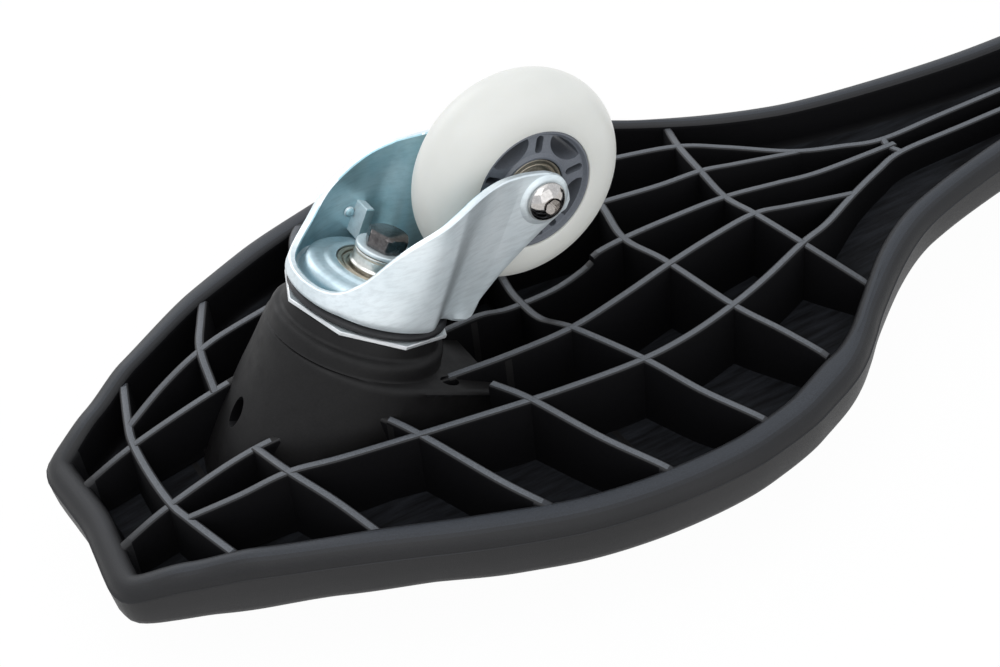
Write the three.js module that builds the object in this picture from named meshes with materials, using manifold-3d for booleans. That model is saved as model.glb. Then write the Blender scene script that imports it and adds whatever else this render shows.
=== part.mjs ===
// Caster board lying upside down, wheels up, riding face on the floor.
// Millimetres, +Z up, +X from nose to tail, origin under the middle of the waist.
import * as THREE from 'three';
import { mergeVertices } from 'three/addons/utils/BufferGeometryUtils.js';
import Module from 'manifold-3d';

const wasm = await Module();
wasm.setup();

// Gaps
const PART_GAP = 0.3;
const RUN_GAP = 0.12;
const DECK_TOLERANCE = 0.1;
const WELD_DISTANCE = 1e-4;

// Deck outline, nose centre to waist, one side
const DECK_OUTLINE = [
  [-428.5, 0], [-429.6, 12], [-431.3, 24], [-431.6, 31.5], [-428.6, 38], [-418, 44.2], [-406, 51.2],
  [-391.6, 61], [-368, 74.2], [-348.5, 84], [-326, 94.2], [-300, 103.4], [-280, 108], [-260, 110.2],
  [-240, 110.4], [-225, 108.4], [-212, 105.6], [-203, 102.4], [-190, 97], [-180, 89.8], [-169.5, 80.4],
  [-158, 71], [-137, 58.8], [-118, 49.8], [-99, 43.8], [-75, 38.7], [-52, 35], [-26, 32.2], [0, 31.2],
];
const OUTLINE_STEPS = 14;
const OUTLINE_NOSE_SHARE = 0.62;
const OUTLINE_SAMPLES = 2000;
const CAP_STRIDE = 3;
const NOSE_CAP_STEPS = 3;
const NOSE_LENGTH = Math.max(...DECK_OUTLINE.map(([x]) => -x));

// Deck heights along its length, nose to waist
const LIP_HEIGHTS = [
  [-432, 17.5], [-412, 23.2], [-394, 27.8], [-360, 30.6], [-330, 30.2], [-300, 29], [-240, 28.6],
  [-172, 28], [-118, 30.8], [-52, 31.8], [0, 32.4],
];
const FACE_HEIGHTS = [
  [-432, 0], [-425, 0.4], [-405, 3], [-372, 7.6], [-345, 9], [-320, 8], [-300, 7.2], [-250, 7],
  [-205, 7.4], [-170, 8], [-110, 11.4], [-52, 11.8], [0, 11.6],
];
const LIP_WIDTHS = [
  [-432, 7.6], [-400, 9], [-370, 10.4], [-335, 11.8], [-215, 11.8], [-190, 12.2], [-178, 10.2],
  [-165, 8.4], [-130, 10], [0, 10.5],
];
const SKIN_THICKNESS = 3.5;

// Rim section
const FACE_EDGE_INSET = 7;
const FACE_ROUND_INSET = 2.6;
const FACE_ROUND_RISE = 0.6;
const SIDE_FOOT_INSET = 0.9;
const SIDE_FOOT_RISE = 3;
const SIDE_PARTING_SHARE = 0.72;
const LIP_SIDE_INSET = 0.6;
const LIP_SIDE_DROP = 4;
const LIP_ROUND_INSET = 3.6;
const LIP_ROUND_DROP = 1;
const LIP_CROWN_SHARE = 0.68;
const LIP_FOOT_DROP = 2.3;
const WALL_DRAFT = 0.8;

// Web ribs
const RIB_THICKNESS = 2.6;
const ARC_DROP = 0.3;
const RIB_ROOT = 1.8;
const RIB_INTO_LIP = 4;
const LIP_COVER = 1.4;
const RIB_CENTRE = [
  [-300, 0, 31], [-279, 0, 31.3], [-266, 0, 28.4], [-248, 0, 28], [-236, 0, 30.6],
  [-230.4, 0, 33.4], [-229.6, 0, 35.8], [-217, 0, 37.3], [-172, 0, 36.1], [-127, 0, 28.4],
  [-91, 0, 26.5],
];
const RIB_INNER = [
  [-424, 17.1, 16.4], [-403.3, 16.9, 25], [-372, 17.2, 32.7], [-300, 26, 34.5], [-280, 28.5, 35],
  [-258, 30, 36], [-236, 27.5, 37.4], [-212, 22.7, 38], [-171, 16.9, 38], [-124, 17.1, 27],
];
const RIB_OUTER = [
  [-401.8, 26, 25.2], [-368.4, 36.6, 35.6], [-349, 41.7, 36], [-299, 51, 35.7], [-272, 54.6, 35],
  [-247, 57, 35], [-227, 55.8, 35], [-206, 51.5, 35], [-166, 38.5, 35.5], [-149, 31, 32],
  [-126.5, 18.3, 27.6], [-108, 10.5, 26.6], [-92, 5.5, 26], [0, 5.5, 24.5],
];
const RIB_ARC_1 = [[-404, 0, 24.8], [-403.3, 16.9, 25], [-401.2, 27.3, 25.4], [-394.2, 51.4, 24.6]];
const RIB_ARC_2 = [[-372, 16.4, 32.7], [-368.4, 36.6, 35.6], [-361, 55, 33], [-353.2, 74, 27.4]];
const RIB_ARC_3 = [[-332.4, 29, 36], [-326.7, 45, 36], [-314.2, 77, 33], [-305, 92, 28.6]];
const RIB_ARC_4 = [[-294.5, 38, 35.4], [-288, 52.4, 35.6], [-277.6, 79, 33], [-266, 99, 28.8]];
const RIB_ARC_5 = [
  [-260.6, 0, 28.2], [-260, 12, 29], [-257.8, 30, 36], [-246.5, 57, 35], [-238.6, 79, 32.6],
  [-228, 98, 28.6],
];
const RIB_ARC_6 = [
  [-216.7, 0, 37.3], [-212.7, 20.6, 38], [-206, 51.5, 35], [-198.6, 69, 32], [-191.6, 83, 27.6],
];
const RIB_ARC_7 = [[-171.9, 0, 36.1], [-171, 16.9, 38], [-166, 38.5, 35.5], [-156, 60.5, 27.4]];
const SPINE_END = [[-92, -5.5, 26], [-94, 0, 26.4], [-92, 5.5, 26]];
const TAIL_ARC_3 = [[-335, 20.8, 34.6], [-332.4, 29, 35.6]];
const TAIL_ARC_4 = [[-300, 26, 34.5], [-294.5, 38, 35.4]];

// Caster places and tilt
const CASTER_TILT = THREE.MathUtils.degToRad(28);
const CASTER_HEIGHT = 57.3;
const FRONT_CASTER_X = -318.8;
const REAR_CASTER_X = 197.4;

// Plinth, radius and height along the swivel axis below the plate
const PLINTH_RADIUS = [
  [31.4, -2.6], [33.8, -9.6], [37.2, -10], [38.8, -12], [41.2, -24], [46, -48], [56, -76],
];
const PLATE_CLEARANCE = 1.2;
const PLINTH_TOP = -1.8;
const PLINTH_SEGMENTS = 20;
const FORK_SEGMENTS = 18;
const BLOCK_INSET = 1.5;
const PLINTH_HOLE_RADIUS = 2.6;
const PLINTH_HOLE_STRETCH = 1.9;
const HOLE_SEGMENTS = 8;
const PLINTH_HOLE_DEPTH = 12;
const PLINTH_HOLE_PLACE = [-43.4, -8.6, -35.5];
const PLINTH_HOLE_FACE_TURN = THREE.MathUtils.degToRad(12);
const SHOULDER_HOLE_RADIUS = 2.4;
const SHOULDER_HOLE_PLACE = [17.5, -34.6, -9];

// Swivel fasteners
const BOLT_RADIUS = 3.9;
const BOLT_END = -24;
const BOLT_HEAD_FLATS = 13;
const BOLT_HEAD_FOOT = 21.1;
const BOLT_HEAD_TOP = 26.4;
const BOLT_HEAD_CHAMFER = 1;
const NUT_FLATS = 13;
const NUT_TOP = -14.3;
const NUT_FOOT = -21.1;
const NUT_POCKET_TOP = -14;
const NUT_POCKET_RADIUS = 10;
const NUT_POCKET_DEPTH = 60;
const BOLT_BORE_RADIUS = 4.2;
const WASHER_RADIUS = 9.6;
const WASHER_FOOT = 19.2;
const WASHER_TOP = 20.8;
const SPACER_RADIUS = 9.2;
const SPACER_FOOT_RADIUS = 9.8;
const SPACER_FOOT = 13.5;
const SPACER_STEP = 15.4;
const SPACER_TOP = 18.9;
const INNER_RACE_RADIUS = 8.3;
const RACE_FOOT = 4.2;
const RACE_TOP = 13.2;
const OUTER_RACE_RADIUS = 14;
const SHIELD_DEPTH = 0.5;
const SHIELD_INNER = 10.4;
const SHIELD_OUTER = 12.2;

// Base plate and dust seal
const PLATE_RADIUS = 29.4;
const PLATE_SIDES = 8;
const PLATE_FOOT = -1.5;
const BOSS_RADIUS = 7.8;
const BOSS_TOP = 3.9;
const SEAL_INNER = 8.1;
const SEAL_OUTER = 26.6;
const SEAL_LIP = 27.8;
const SEAL_TOP = 3.4;
const SEAL_LIP_TOP = 1.6;

// Fork wall, front centre to arm end: place along the board, half width at its foot and top,
// height of its foot and top
const FORK_WALL = [
  [-28.2, 0, 0, 3.8, 9], [-27.7, 5.2, 5.2, 3.8, 9.1], [-25.8, 11.7, 11.4, 3.8, 9.8],
  [-22.4, 17.3, 16.4, 3.8, 12], [-17.8, 22.2, 20.6, 3.8, 18.2], [-13, 25.4, 23.9, 3.8, 27.8],
  [-7, 27.5, 25.6, 3.8, 35.4], [0, 28.2, 26.4, 3.8, 42], [7, 27.6, 24.5, 3.8, 48.1],
  [10.5, 25.4, 23, 3.8, 50.7], [13, 22.2, 22, 3.8, 52.3], [16.5, 18.8, 20.8, 3.8, 54.5],
  [20, 17.7, 19.8, 3.8, 56.2],
  [24, 17.5, 18.8, 3.8, 57.6], [29.4, 17.3, 17.6, 4.6, 58.8], [31.2, 17.3, 17.4, 11.2, 59.2],
  [39.4, 17.3, 17.3, 28, 60.6], [43.4, 17.3, 17.3, 34.6, 60], [47.2, 17.3, 17.3, 40.4, 58.2],
  [50.2, 17.3, 17.3, 44.4, 55.4], [52, 17.3, 17.3, 47.4, 52.4],
];
const FORK_STEPS = 14;
const SHEET = 2.5;
const SHEET_ROUND = 1.6;
const SHEET_ROUND_SHARE = 0.3;
const BASE_REACH = 22;
const CUP_PROFILE = [
  [29, 3.8], [29, 6.3], [24.2, 6.3], [21.6, 7.6], [20, 11.2], [18, 13.2], [14.3, 13.6],
];
const CUP_BORE = 14.3;
const CUP_FOOT = 3.8;
const BASE_DEPTH = 30;
const FOOT_FLARE = 1.6;
const FOOT_FLARE_FROM = 19.5;
const FOOT_FLARE_TO = 30.4;
const ARM_BORE = 4.2;
const ARM_BOSS_RADIUS = 8.6;
const ARM_BOSS_TOP_RADIUS = 7.6;
const ARM_BOSS_RISE = 0.9;
const TAB_SIZE = [2.5, 6, 11];
const TAB_PLACE = [3.5, 23.8, 18.6];
const DIMPLE_RADIUS = 1.3;
const DIMPLE_PLACE = [0, 25.9, 19.8];

// Wheel
const WHEEL_TRAIL = 41.5;
const WHEEL_HEIGHT = 51.2;
const WHEEL_RADIUS = 38;
const TYRE_INNER = 22;
const TYRE_SIDE_RADIUS = 24.6;
const TYRE_HALF_WIDTH = 12.9;
const TYRE_FOOT_HALF_WIDTH = 12.7;
const TYRE_ARC_STEPS = 5;
const TYRE_SEGMENTS = 27;
const HUB_RADIUS = 21.7;
const HUB_RIM_INNER = 19;
const HUB_RIM_HALF = 12.3;
const HUB_WEB_OUTER = 18.7;
const HUB_WEB_HALF = 10.2;
const HUB_CORE_RADIUS = 12.6;
const HUB_CORE_HALF = 11.9;
const HUB_SEAT = 11.3;
const HUB_SHOULDER = 9.2;
const HUB_SHOULDER_HALF = 4.2;
const HUB_SEGMENTS = 18;
const WINDOW_COUNT = 6;
const WINDOW_MIDDLE = 15.5;
const WINDOW_RADIAL = 2.6;
const WINDOW_STRETCH = 1.8;
const SLOT_RADIAL = 2.5;
const SLOT_STRETCH = 0.4;
const WINDOW_SEGMENTS = 8;
const SLOT_SEGMENTS = 6;

// Wheel bearings and axle
const BEARING_RADIUS = 11;
const BEARING_INNER_RADIUS = 6;
const BEARING_NEAR = 4.5;
const BEARING_FAR = 11.5;
const BEARING_SHIELD_INNER = 6.8;
const BEARING_SHIELD_OUTER = 9.4;
const BEARING_SHIELD_DEPTH = 0.4;
const AXLE_RADIUS = 3.9;
const AXLE_BORE = 4.2;
const SLEEVE_RADIUS = 6.2;
const SLEEVE_NEAR = 11.8;
const SLEEVE_FAR = 15.75;
const SPACER_HALF = 4.2;
const ARM_OUTSIDE = 19.45;
const AXLE_HEAD_RADIUS = 7;
const AXLE_HEAD_RISE = 4.4;
const AXLE_HEAD_RIM_SHARE = 0.16;
const AXLE_DOME_STEPS = 3;
const AXLE_DOME_ANGLE = Math.PI / 3;
const SOCKET_FLATS = 5;
const SOCKET_DEPTH = 2.6;
const AXLE_END = 27.6;
const AXLE_NUT_FLATS = 13;
const AXLE_NUT_HEX = 5.4;
const AXLE_NUT_TOP = 7.2;
const AXLE_NUT_TOP_RADIUS = 5.4;
const HEX_SIDES = 6;
const SMALL_SEGMENTS = 10;
const RACE_SEGMENTS = 12;

const COLOURS = {
  deck: [0x1b1b1e, 0.62, 0],
  zinc: [0xb9c6cc, 0.34, 1],
  seal: [0x121213, 0.7, 0],
  darkChrome: [0x3c3b3f, 0.22, 1],
  chrome: [0xd6d6d8, 0.12, 1],
  race: [0xc9c2ae, 0.3, 1],
  shield: [0x8d7f63, 0.42, 1],
  steel: [0x9da0a4, 0.35, 1],
  tyre: [0xe9e8e0, 0.45, 0],
  hub: [0x5b5f68, 0.5, 0],
};

// Mesh and boolean helpers

function toManifold(geometry) {
  const bare = geometry.clone();
  bare.deleteAttribute('normal');
  bare.deleteAttribute('uv');
  const merged = mergeVertices(bare, WELD_DISTANCE);
  const triVerts = Uint32Array.from(merged.index.array);
  const vertProperties = Float32Array.from(merged.attributes.position.array);
  return new wasm.Manifold(new wasm.Mesh({ numProp: 3, vertProperties, triVerts }));
}

function toGeometry(solid) {
  const mesh = solid.getMesh();
  const geometry = new THREE.BufferGeometry();
  geometry.setAttribute('position', new THREE.BufferAttribute(Float32Array.from(mesh.vertProperties), 3));
  geometry.setIndex(Array.from(mesh.triVerts));
  return geometry;
}

function meshFrom(positions, triangles) {
  const geometry = new THREE.BufferGeometry();
  geometry.setAttribute('position', new THREE.Float32BufferAttribute(positions, 3));
  geometry.setIndex(triangles);
  return geometry;
}

function node(name, geometry, colour) {
  const [color, roughness, metalness] = colour;
  const bare = geometry.index ? geometry.toNonIndexed() : geometry;
  bare.deleteAttribute('uv');
  bare.computeVertexNormals();
  const material = new THREE.MeshStandardMaterial({ color, roughness, metalness });
  const mesh = new THREE.Mesh(bare, material);
  mesh.name = name;
  return mesh;
}

// A turned solid about Z from points of radius and height, closed on itself or on the axis.
function turned(points, segments) {
  const profile = points.map(([radius, height]) => new THREE.Vector2(radius, height));
  if (points[0][0] > 0) profile.push(profile[0].clone());
  const geometry = new THREE.LatheGeometry(profile, segments);
  geometry.rotateX(Math.PI / 2);
  return toManifold(orient(geometry));
}

function signedVolume(geometry) {
  const position = geometry.attributes.position;
  const index = geometry.index;
  const count = index ? index.count : position.count;
  const [a, b, c] = [new THREE.Vector3(), new THREE.Vector3(), new THREE.Vector3()];
  let volume = 0;
  for (let i = 0; i < count; i += 3) {
    const at = (k) => (index ? index.getX(i + k) : i + k);
    a.fromBufferAttribute(position, at(0));
    b.fromBufferAttribute(position, at(1));
    c.fromBufferAttribute(position, at(2));
    volume += a.dot(b.cross(c));
  }
  return volume;
}

function orient(geometry) {
  if (signedVolume(geometry) >= 0) return geometry;
  const turnedOver = geometry.clone();
  const index = Array.from(turnedOver.index.array);
  for (let i = 0; i < index.length; i += 3) [index[i], index[i + 1]] = [index[i + 1], index[i]];
  turnedOver.setIndex(index);
  return turnedOver;
}

// Radius that keeps the flats of a faceted bore clear of a round of the given radius.
function boreRadius(radius, segments) {
  return (radius + RUN_GAP) / Math.cos(Math.PI / segments);
}

function ring(inner, outer, foot, top, segments) {
  return turned([[inner, foot], [outer, foot], [outer, top], [inner, top]], segments);
}

function disc(radius, foot, top, segments) {
  return turned([[0, foot], [radius, foot], [radius, top], [0, top]], segments);
}

function polygonBar(sides, flats, foot, top, turn) {
  const radius = flats / 2 / Math.cos(Math.PI / sides);
  const geometry = new THREE.CylinderGeometry(radius, radius, top - foot, sides);
  geometry.rotateX(Math.PI / 2);
  geometry.rotateZ(turn);
  geometry.translate(0, 0, (top + foot) / 2);
  return toManifold(geometry);
}

function moved(solid, matrix) {
  return toManifold(toGeometry(solid).applyMatrix4(matrix));
}

function along(points, x) {
  if (x <= points[0][0]) return points[0][1];
  for (let i = 1; i < points.length; i += 1) {
    const [x0, v0] = points[i - 1];
    const [x1, v1] = points[i];
    if (x > x1) continue;
    const share = (x - x0) / (x1 - x0);
    const eased = share * share * (3 - share - share);
    return v0 + (v1 - v0) * (share + eased) / 2;
  }
  return points[points.length - 1][1];
}

// Deck

function outlineLoop() {
  const control = DECK_OUTLINE.map(([x, y]) => new THREE.Vector3(x, y, 0));
  const noseTwin = new THREE.Vector3(DECK_OUTLINE[1][0], -DECK_OUTLINE[1][1], 0);
  const waistTwin = new THREE.Vector3(-DECK_OUTLINE[DECK_OUTLINE.length - 2][0], control.at(-2).y, 0);
  const curve = new THREE.CatmullRomCurve3([noseTwin, ...control, waistTwin], false, 'centripetal');
  const lengths = curve.getLengths(OUTLINE_SAMPLES);
  const total = lengths.at(-1);
  const startShare = 1 / (control.length + 1);
  const noseLength = lengths[Math.round(startShare * OUTLINE_SAMPLES)];
  const waistLength = lengths[Math.round((1 - startShare) * OUTLINE_SAMPLES)];
  const quarter = [];
  for (let i = 0; i <= OUTLINE_STEPS; i += 1) {
    const share = i / OUTLINE_STEPS;
    const eased = share * (OUTLINE_NOSE_SHARE + (1 - OUTLINE_NOSE_SHARE) * share);
    const at = (noseLength + (waistLength - noseLength) * eased) / total;
    const point = curve.getPointAt(at);
    const tangent = curve.getTangentAt(at);
    quarter.push({ x: point.x, y: point.y, nx: tangent.y, ny: -tangent.x });
  }
  quarter[0] = { x: quarter[0].x, y: 0, nx: 1, ny: 0 };
  quarter[OUTLINE_STEPS] = { x: 0, y: quarter[OUTLINE_STEPS].y, nx: 0, ny: -1 };
  const side = [...quarter];
  for (let i = OUTLINE_STEPS - 1; i >= 0; i -= 1) {
    const p = quarter[i];
    side.push({ x: -p.x, y: p.y, nx: -p.nx, ny: p.ny });
  }
  const loop = [...side];
  for (let i = side.length - 2; i > 0; i -= 1) {
    const p = side[i];
    loop.push({ x: p.x, y: -p.y, nx: p.nx, ny: -p.ny });
  }
  return loop;
}

function deckRing(loop, insetAt, heightAt) {
  return loop.map((p) => {
    const x = -Math.abs(p.x);
    const inset = insetAt(x);
    return [p.x + p.nx * inset, p.y + p.ny * inset, heightAt(x)];
  });
}

function capTriangles(loopRing, offset, up) {
  const count = loopRing.length;
  const half = count / 2;
  const triangles = [];
  const push = (a, b, c) => {
    const [ax, ay] = loopRing[a];
    const [bx, by] = loopRing[b];
    const [cx, cy] = loopRing[c];
    const area = (bx - ax) * (cy - ay) - (by - ay) * (cx - ax);
    if ((area > 0) === up) triangles.push(offset + a, offset + b, offset + c);
    else triangles.push(offset + a, offset + c, offset + b);
  };
  const fill = (list) => {
    const contour = list.map((i) => new THREE.Vector2(loopRing[i][0], loopRing[i][1]));
    for (const [a, b, c] of THREE.ShapeUtils.triangulateShape(contour, [])) push(list[a], list[b], list[c]);
  };
  const span = (from, to) => Array.from({ length: to - from + 1 }, (_, k) => (from + k + count) % count);
  fill(span(-NOSE_CAP_STEPS, NOSE_CAP_STEPS));
  fill(span(half - NOSE_CAP_STEPS, half + NOSE_CAP_STEPS));
  for (let i = NOSE_CAP_STEPS; i < half - NOSE_CAP_STEPS; i += CAP_STRIDE) {
    const next = Math.min(i + CAP_STRIDE, half - NOSE_CAP_STEPS);
    fill([...span(i, next), ...span(count - next, count - i)]);
  }
  return triangles;
}

function deckLoft(rings) {
  const count = rings[0].length;
  const positions = rings.flat(2);
  const triangles = [];
  for (let r = 0; r < rings.length - 1; r += 1) {
    for (let i = 0; i < count; i += 1) {
      const j = (i + 1) % count;
      const [a, b, c, d] = [r * count + i, r * count + j, (r + 1) * count + j, (r + 1) * count + i];
      triangles.push(a, d, b, b, d, c);
    }
  }
  triangles.push(...capTriangles(rings[0], 0, false));
  triangles.push(...capTriangles(rings.at(-1), (rings.length - 1) * count, true));
  return toManifold(meshFrom(positions, triangles));
}

const lipAt = (x) => along(LIP_HEIGHTS, x);
const faceAt = (x) => along(FACE_HEIGHTS, x);
const lipWidthAt = (x) => along(LIP_WIDTHS, x);
const floorAt = (x) => faceAt(x) + SKIN_THICKNESS;

function deckPan(loop) {
  const partingAt = (x) => faceAt(x) + (lipAt(x) - faceAt(x)) * SIDE_PARTING_SHARE;
  return deckLoft([
    deckRing(loop, () => FACE_EDGE_INSET, faceAt),
    deckRing(loop, () => FACE_ROUND_INSET, (x) => faceAt(x) + FACE_ROUND_RISE),
    deckRing(loop, () => SIDE_FOOT_INSET, (x) => faceAt(x) + SIDE_FOOT_RISE),
    deckRing(loop, () => 0, partingAt),
    deckRing(loop, () => LIP_SIDE_INSET, (x) => lipAt(x) - LIP_SIDE_DROP),
    deckRing(loop, () => LIP_ROUND_INSET, (x) => lipAt(x) - LIP_ROUND_DROP),
    deckRing(loop, (x) => lipWidthAt(x) * LIP_CROWN_SHARE, lipAt),
    deckRing(loop, lipWidthAt, (x) => lipAt(x) - LIP_FOOT_DROP),
    deckRing(loop, (x) => lipWidthAt(x) + WALL_DRAFT, floorAt),
  ]);
}

function deckBlock(loop) {
  return deckLoft([
    deckRing(loop, () => FACE_EDGE_INSET, (x) => faceAt(x) + RIB_ROOT / 2),
    deckRing(loop, () => SIDE_FOOT_INSET + BLOCK_INSET, (x) => faceAt(x) + SIDE_FOOT_RISE),
    deckRing(loop, () => SIDE_FOOT_INSET + BLOCK_INSET, () => CASTER_HEIGHT + PLATE_RADIUS),
  ]);
}

// A web rib standing on the skin, following its own top edge.
function ribWall(points) {
  const positions = [];
  const triangles = [];
  points.forEach(([x, y, top], i) => {
    const before = points[Math.max(i - 1, 0)];
    const after = points[Math.min(i + 1, points.length - 1)];
    const side = new THREE.Vector2(after[1] - before[1], before[0] - after[0]).normalize();
    const foot = faceAt(-Math.abs(x)) + RIB_ROOT;
    for (const [sign, z] of [[-1, foot], [-1, top], [1, top], [1, foot]]) {
      const off = sign * RIB_THICKNESS / 2;
      positions.push(x + side.x * off, y + side.y * off, z);
    }
  });
  const last = (points.length - 1) * 4;
  for (let s = 0; s < last; s += 4) {
    for (let k = 0; k < 4; k += 1) {
      const n = (k + 1) % 4;
      triangles.push(s + k, s + n, s + 4 + k, s + n, s + 4 + n, s + 4 + k);
    }
  }
  triangles.push(0, 2, 1, 0, 3, 2, last, last + 1, last + 2, last, last + 2, last + 3);
  return toManifold(orient(meshFrom(positions, triangles)));
}

function mirroredSide(points) {
  return points.map(([x, y, z]) => [x, -y, z]);
}

function acrossBoth(points) {
  return [...mirroredSide(points).reverse(), ...points.slice(points[0][1] === 0 ? 1 : 0)];
}

function intoLip(points) {
  const [x0, y0] = points.at(-2);
  const [x1, y1] = points.at(-1);
  const reach = Math.hypot(x1 - x0, y1 - y0);
  const x = x1 + (x1 - x0) / reach * RIB_INTO_LIP;
  const y = y1 + (y1 - y0) / reach * RIB_INTO_LIP;
  return [...points, [x, y, lipAt(-Math.abs(x)) - LIP_FOOT_DROP - LIP_COVER]];
}

function webRibs(tail) {
  const lowArc = (points) => intoLip(points.map(([x, y, z]) => [x, y, z - ARC_DROP]));
  const arcs = [RIB_ARC_1, RIB_ARC_5, RIB_ARC_6, RIB_ARC_7].map((arc) => acrossBoth(lowArc(arc)));
  const arc3 = lowArc(tail ? [...TAIL_ARC_3, ...RIB_ARC_3.slice(1)] : RIB_ARC_3);
  const arc4 = lowArc(tail ? [...TAIL_ARC_4, ...RIB_ARC_4.slice(1)] : RIB_ARC_4);
  const sides = [RIB_INNER, RIB_OUTER, lowArc(RIB_ARC_2), arc3, arc4];
  const all = [RIB_CENTRE, SPINE_END, ...arcs, ...sides, ...sides.map(mirroredSide)];
  if (tail) all.push([...mirroredSide([RIB_ARC_2[0]]), RIB_ARC_2[0]]);
  return all.map((points) => {
    const placed = tail ? points.map(([x, y, z]) => [-x, y, z]) : points;
    return ribWall(placed);
  });
}

function casterMatrix(x) {
  const matrix = new THREE.Matrix4().makeRotationY(CASTER_TILT);
  matrix.setPosition(x, 0, CASTER_HEIGHT);
  return matrix;
}

function ovalHole(radius, stretch, depth, place, tiltY, turnZ) {
  const geometry = new THREE.CylinderGeometry(radius, radius, depth, HOLE_SEGMENTS);
  geometry.rotateX(Math.PI / 2);
  geometry.scale(stretch, 1, 1);
  geometry.rotateY(tiltY);
  geometry.rotateZ(turnZ);
  geometry.translate(...place);
  return toManifold(geometry);
}

function plinth() {
  const profile = [[0, PLINTH_TOP], [PLINTH_RADIUS[0][0], PLINTH_TOP], ...PLINTH_RADIUS];
  profile.push([0, PLINTH_RADIUS.at(-1)[1]]);
  const body = turned(profile, PLINTH_SEGMENTS);
  const side = ovalHole(PLINTH_HOLE_RADIUS, PLINTH_HOLE_STRETCH, PLINTH_HOLE_DEPTH, PLINTH_HOLE_PLACE,
    Math.PI / 2, PLINTH_HOLE_FACE_TURN);
  const shoulder = ovalHole(SHOULDER_HOLE_RADIUS, PLINTH_HOLE_STRETCH, PLINTH_HOLE_DEPTH,
    SHOULDER_HOLE_PLACE, 0, PLINTH_HOLE_FACE_TURN);
  return body.subtract(side).subtract(shoulder);
}

function plinthCuts() {
  const bore = disc(BOLT_BORE_RADIUS, NUT_POCKET_TOP - PART_GAP, PLATE_RADIUS, SMALL_SEGMENTS);
  const hex = polygonBar(HEX_SIDES, NUT_FLATS + PART_GAP + PART_GAP, NUT_FOOT, NUT_POCKET_TOP, 0);
  const pocket = disc(NUT_POCKET_RADIUS, NUT_FOOT - NUT_POCKET_DEPTH, NUT_FOOT + PART_GAP, SMALL_SEGMENTS);
  const seat = disc(PLATE_RADIUS + PLATE_CLEARANCE, PLINTH_TOP, PLATE_RADIUS, PLINTH_SEGMENTS);
  return bore.add(hex).add(pocket).add(seat);
}

function slab(x0, x1) {
  const size = NOSE_LENGTH + NOSE_LENGTH;
  const geometry = new THREE.BoxGeometry(x1 - x0, size, size);
  geometry.translate((x0 + x1) / 2, 0, 0);
  return toManifold(geometry);
}

function deckHalves() {
  const loop = outlineLoop();
  const pan = deckPan(loop);
  const block = deckBlock(loop);
  const build = (tail, x0, x1, casterX) => {
    const place = casterMatrix(casterX);
    const half = slab(x0, x1);
    const web = webRibs(tail).reduce((a, b) => a.add(b)).add(moved(plinth(), place)).intersect(block);
    const cuts = moved(plinthCuts(), place);
    return toGeometry(pan.add(web).subtract(cuts).intersect(half).simplify(DECK_TOLERANCE));
  };
  return {
    front: build(false, -NOSE_LENGTH - NOSE_LENGTH, -PART_GAP / 2, FRONT_CASTER_X),
    rear: build(true, PART_GAP / 2, NOSE_LENGTH + NOSE_LENGTH, REAR_CASTER_X),
  };
}

// Swivel pieces, in the caster's own frame with Z along the swivel axis

function basePlate() {
  const flats = 2 * PLATE_RADIUS * Math.cos(Math.PI / PLATE_SIDES);
  const plate = polygonBar(PLATE_SIDES, flats, PLATE_FOOT, 0, Math.PI / 2);
  const boss = disc(BOSS_RADIUS, PLATE_FOOT, BOSS_TOP, RACE_SEGMENTS);
  const bore = disc(BOLT_BORE_RADIUS, PLATE_FOOT - SHEET, BOSS_TOP + SHEET, SMALL_SEGMENTS);
  return plate.add(boss).subtract(bore);
}

function dustSeal() {
  return turned([
    [SEAL_INNER, PART_GAP], [SEAL_OUTER, PART_GAP], [SEAL_LIP, SEAL_LIP_TOP],
    [SEAL_OUTER, SEAL_TOP], [SEAL_INNER, SEAL_TOP],
  ], FORK_SEGMENTS);
}

function chamferedHead(flats, foot, top, chamfer) {
  const corner = flats / 2 / Math.cos(Math.PI / HEX_SIDES);
  const dome = turned([
    [0, foot], [corner + chamfer, foot], [corner + chamfer / 4, top - chamfer],
    [flats / 2 - chamfer / 4, top], [0, top],
  ], RACE_SEGMENTS);
  return polygonBar(HEX_SIDES, flats, foot, top, Math.PI / 2).intersect(dome);
}

function pivotBolt() {
  const shank = disc(BOLT_RADIUS, BOLT_END, BOLT_HEAD_FOOT + PART_GAP, SMALL_SEGMENTS);
  return shank.add(chamferedHead(BOLT_HEAD_FLATS, BOLT_HEAD_FOOT, BOLT_HEAD_TOP, BOLT_HEAD_CHAMFER));
}

function pivotNut() {
  return polygonBar(HEX_SIDES, NUT_FLATS, NUT_FOOT, NUT_TOP, 0).subtract(
    disc(BOLT_BORE_RADIUS, NUT_FOOT - SHEET, NUT_TOP + SHEET, SMALL_SEGMENTS));
}

function pivotSpacer() {
  return turned([
    [BOLT_BORE_RADIUS, SPACER_FOOT], [SPACER_FOOT_RADIUS, SPACER_FOOT], [SPACER_RADIUS, SPACER_STEP],
    [SPACER_RADIUS, SPACER_TOP], [BOLT_BORE_RADIUS, SPACER_TOP],
  ], RACE_SEGMENTS);
}

function shieldedRing(inner, outer, foot, top, shieldInner, shieldOuter, depth, segments) {
  return turned([
    [inner, foot], [outer, foot], [outer, top], [shieldOuter, top], [shieldInner, top - depth],
    [inner, top - depth],
  ], segments);
}

// Fork

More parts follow.
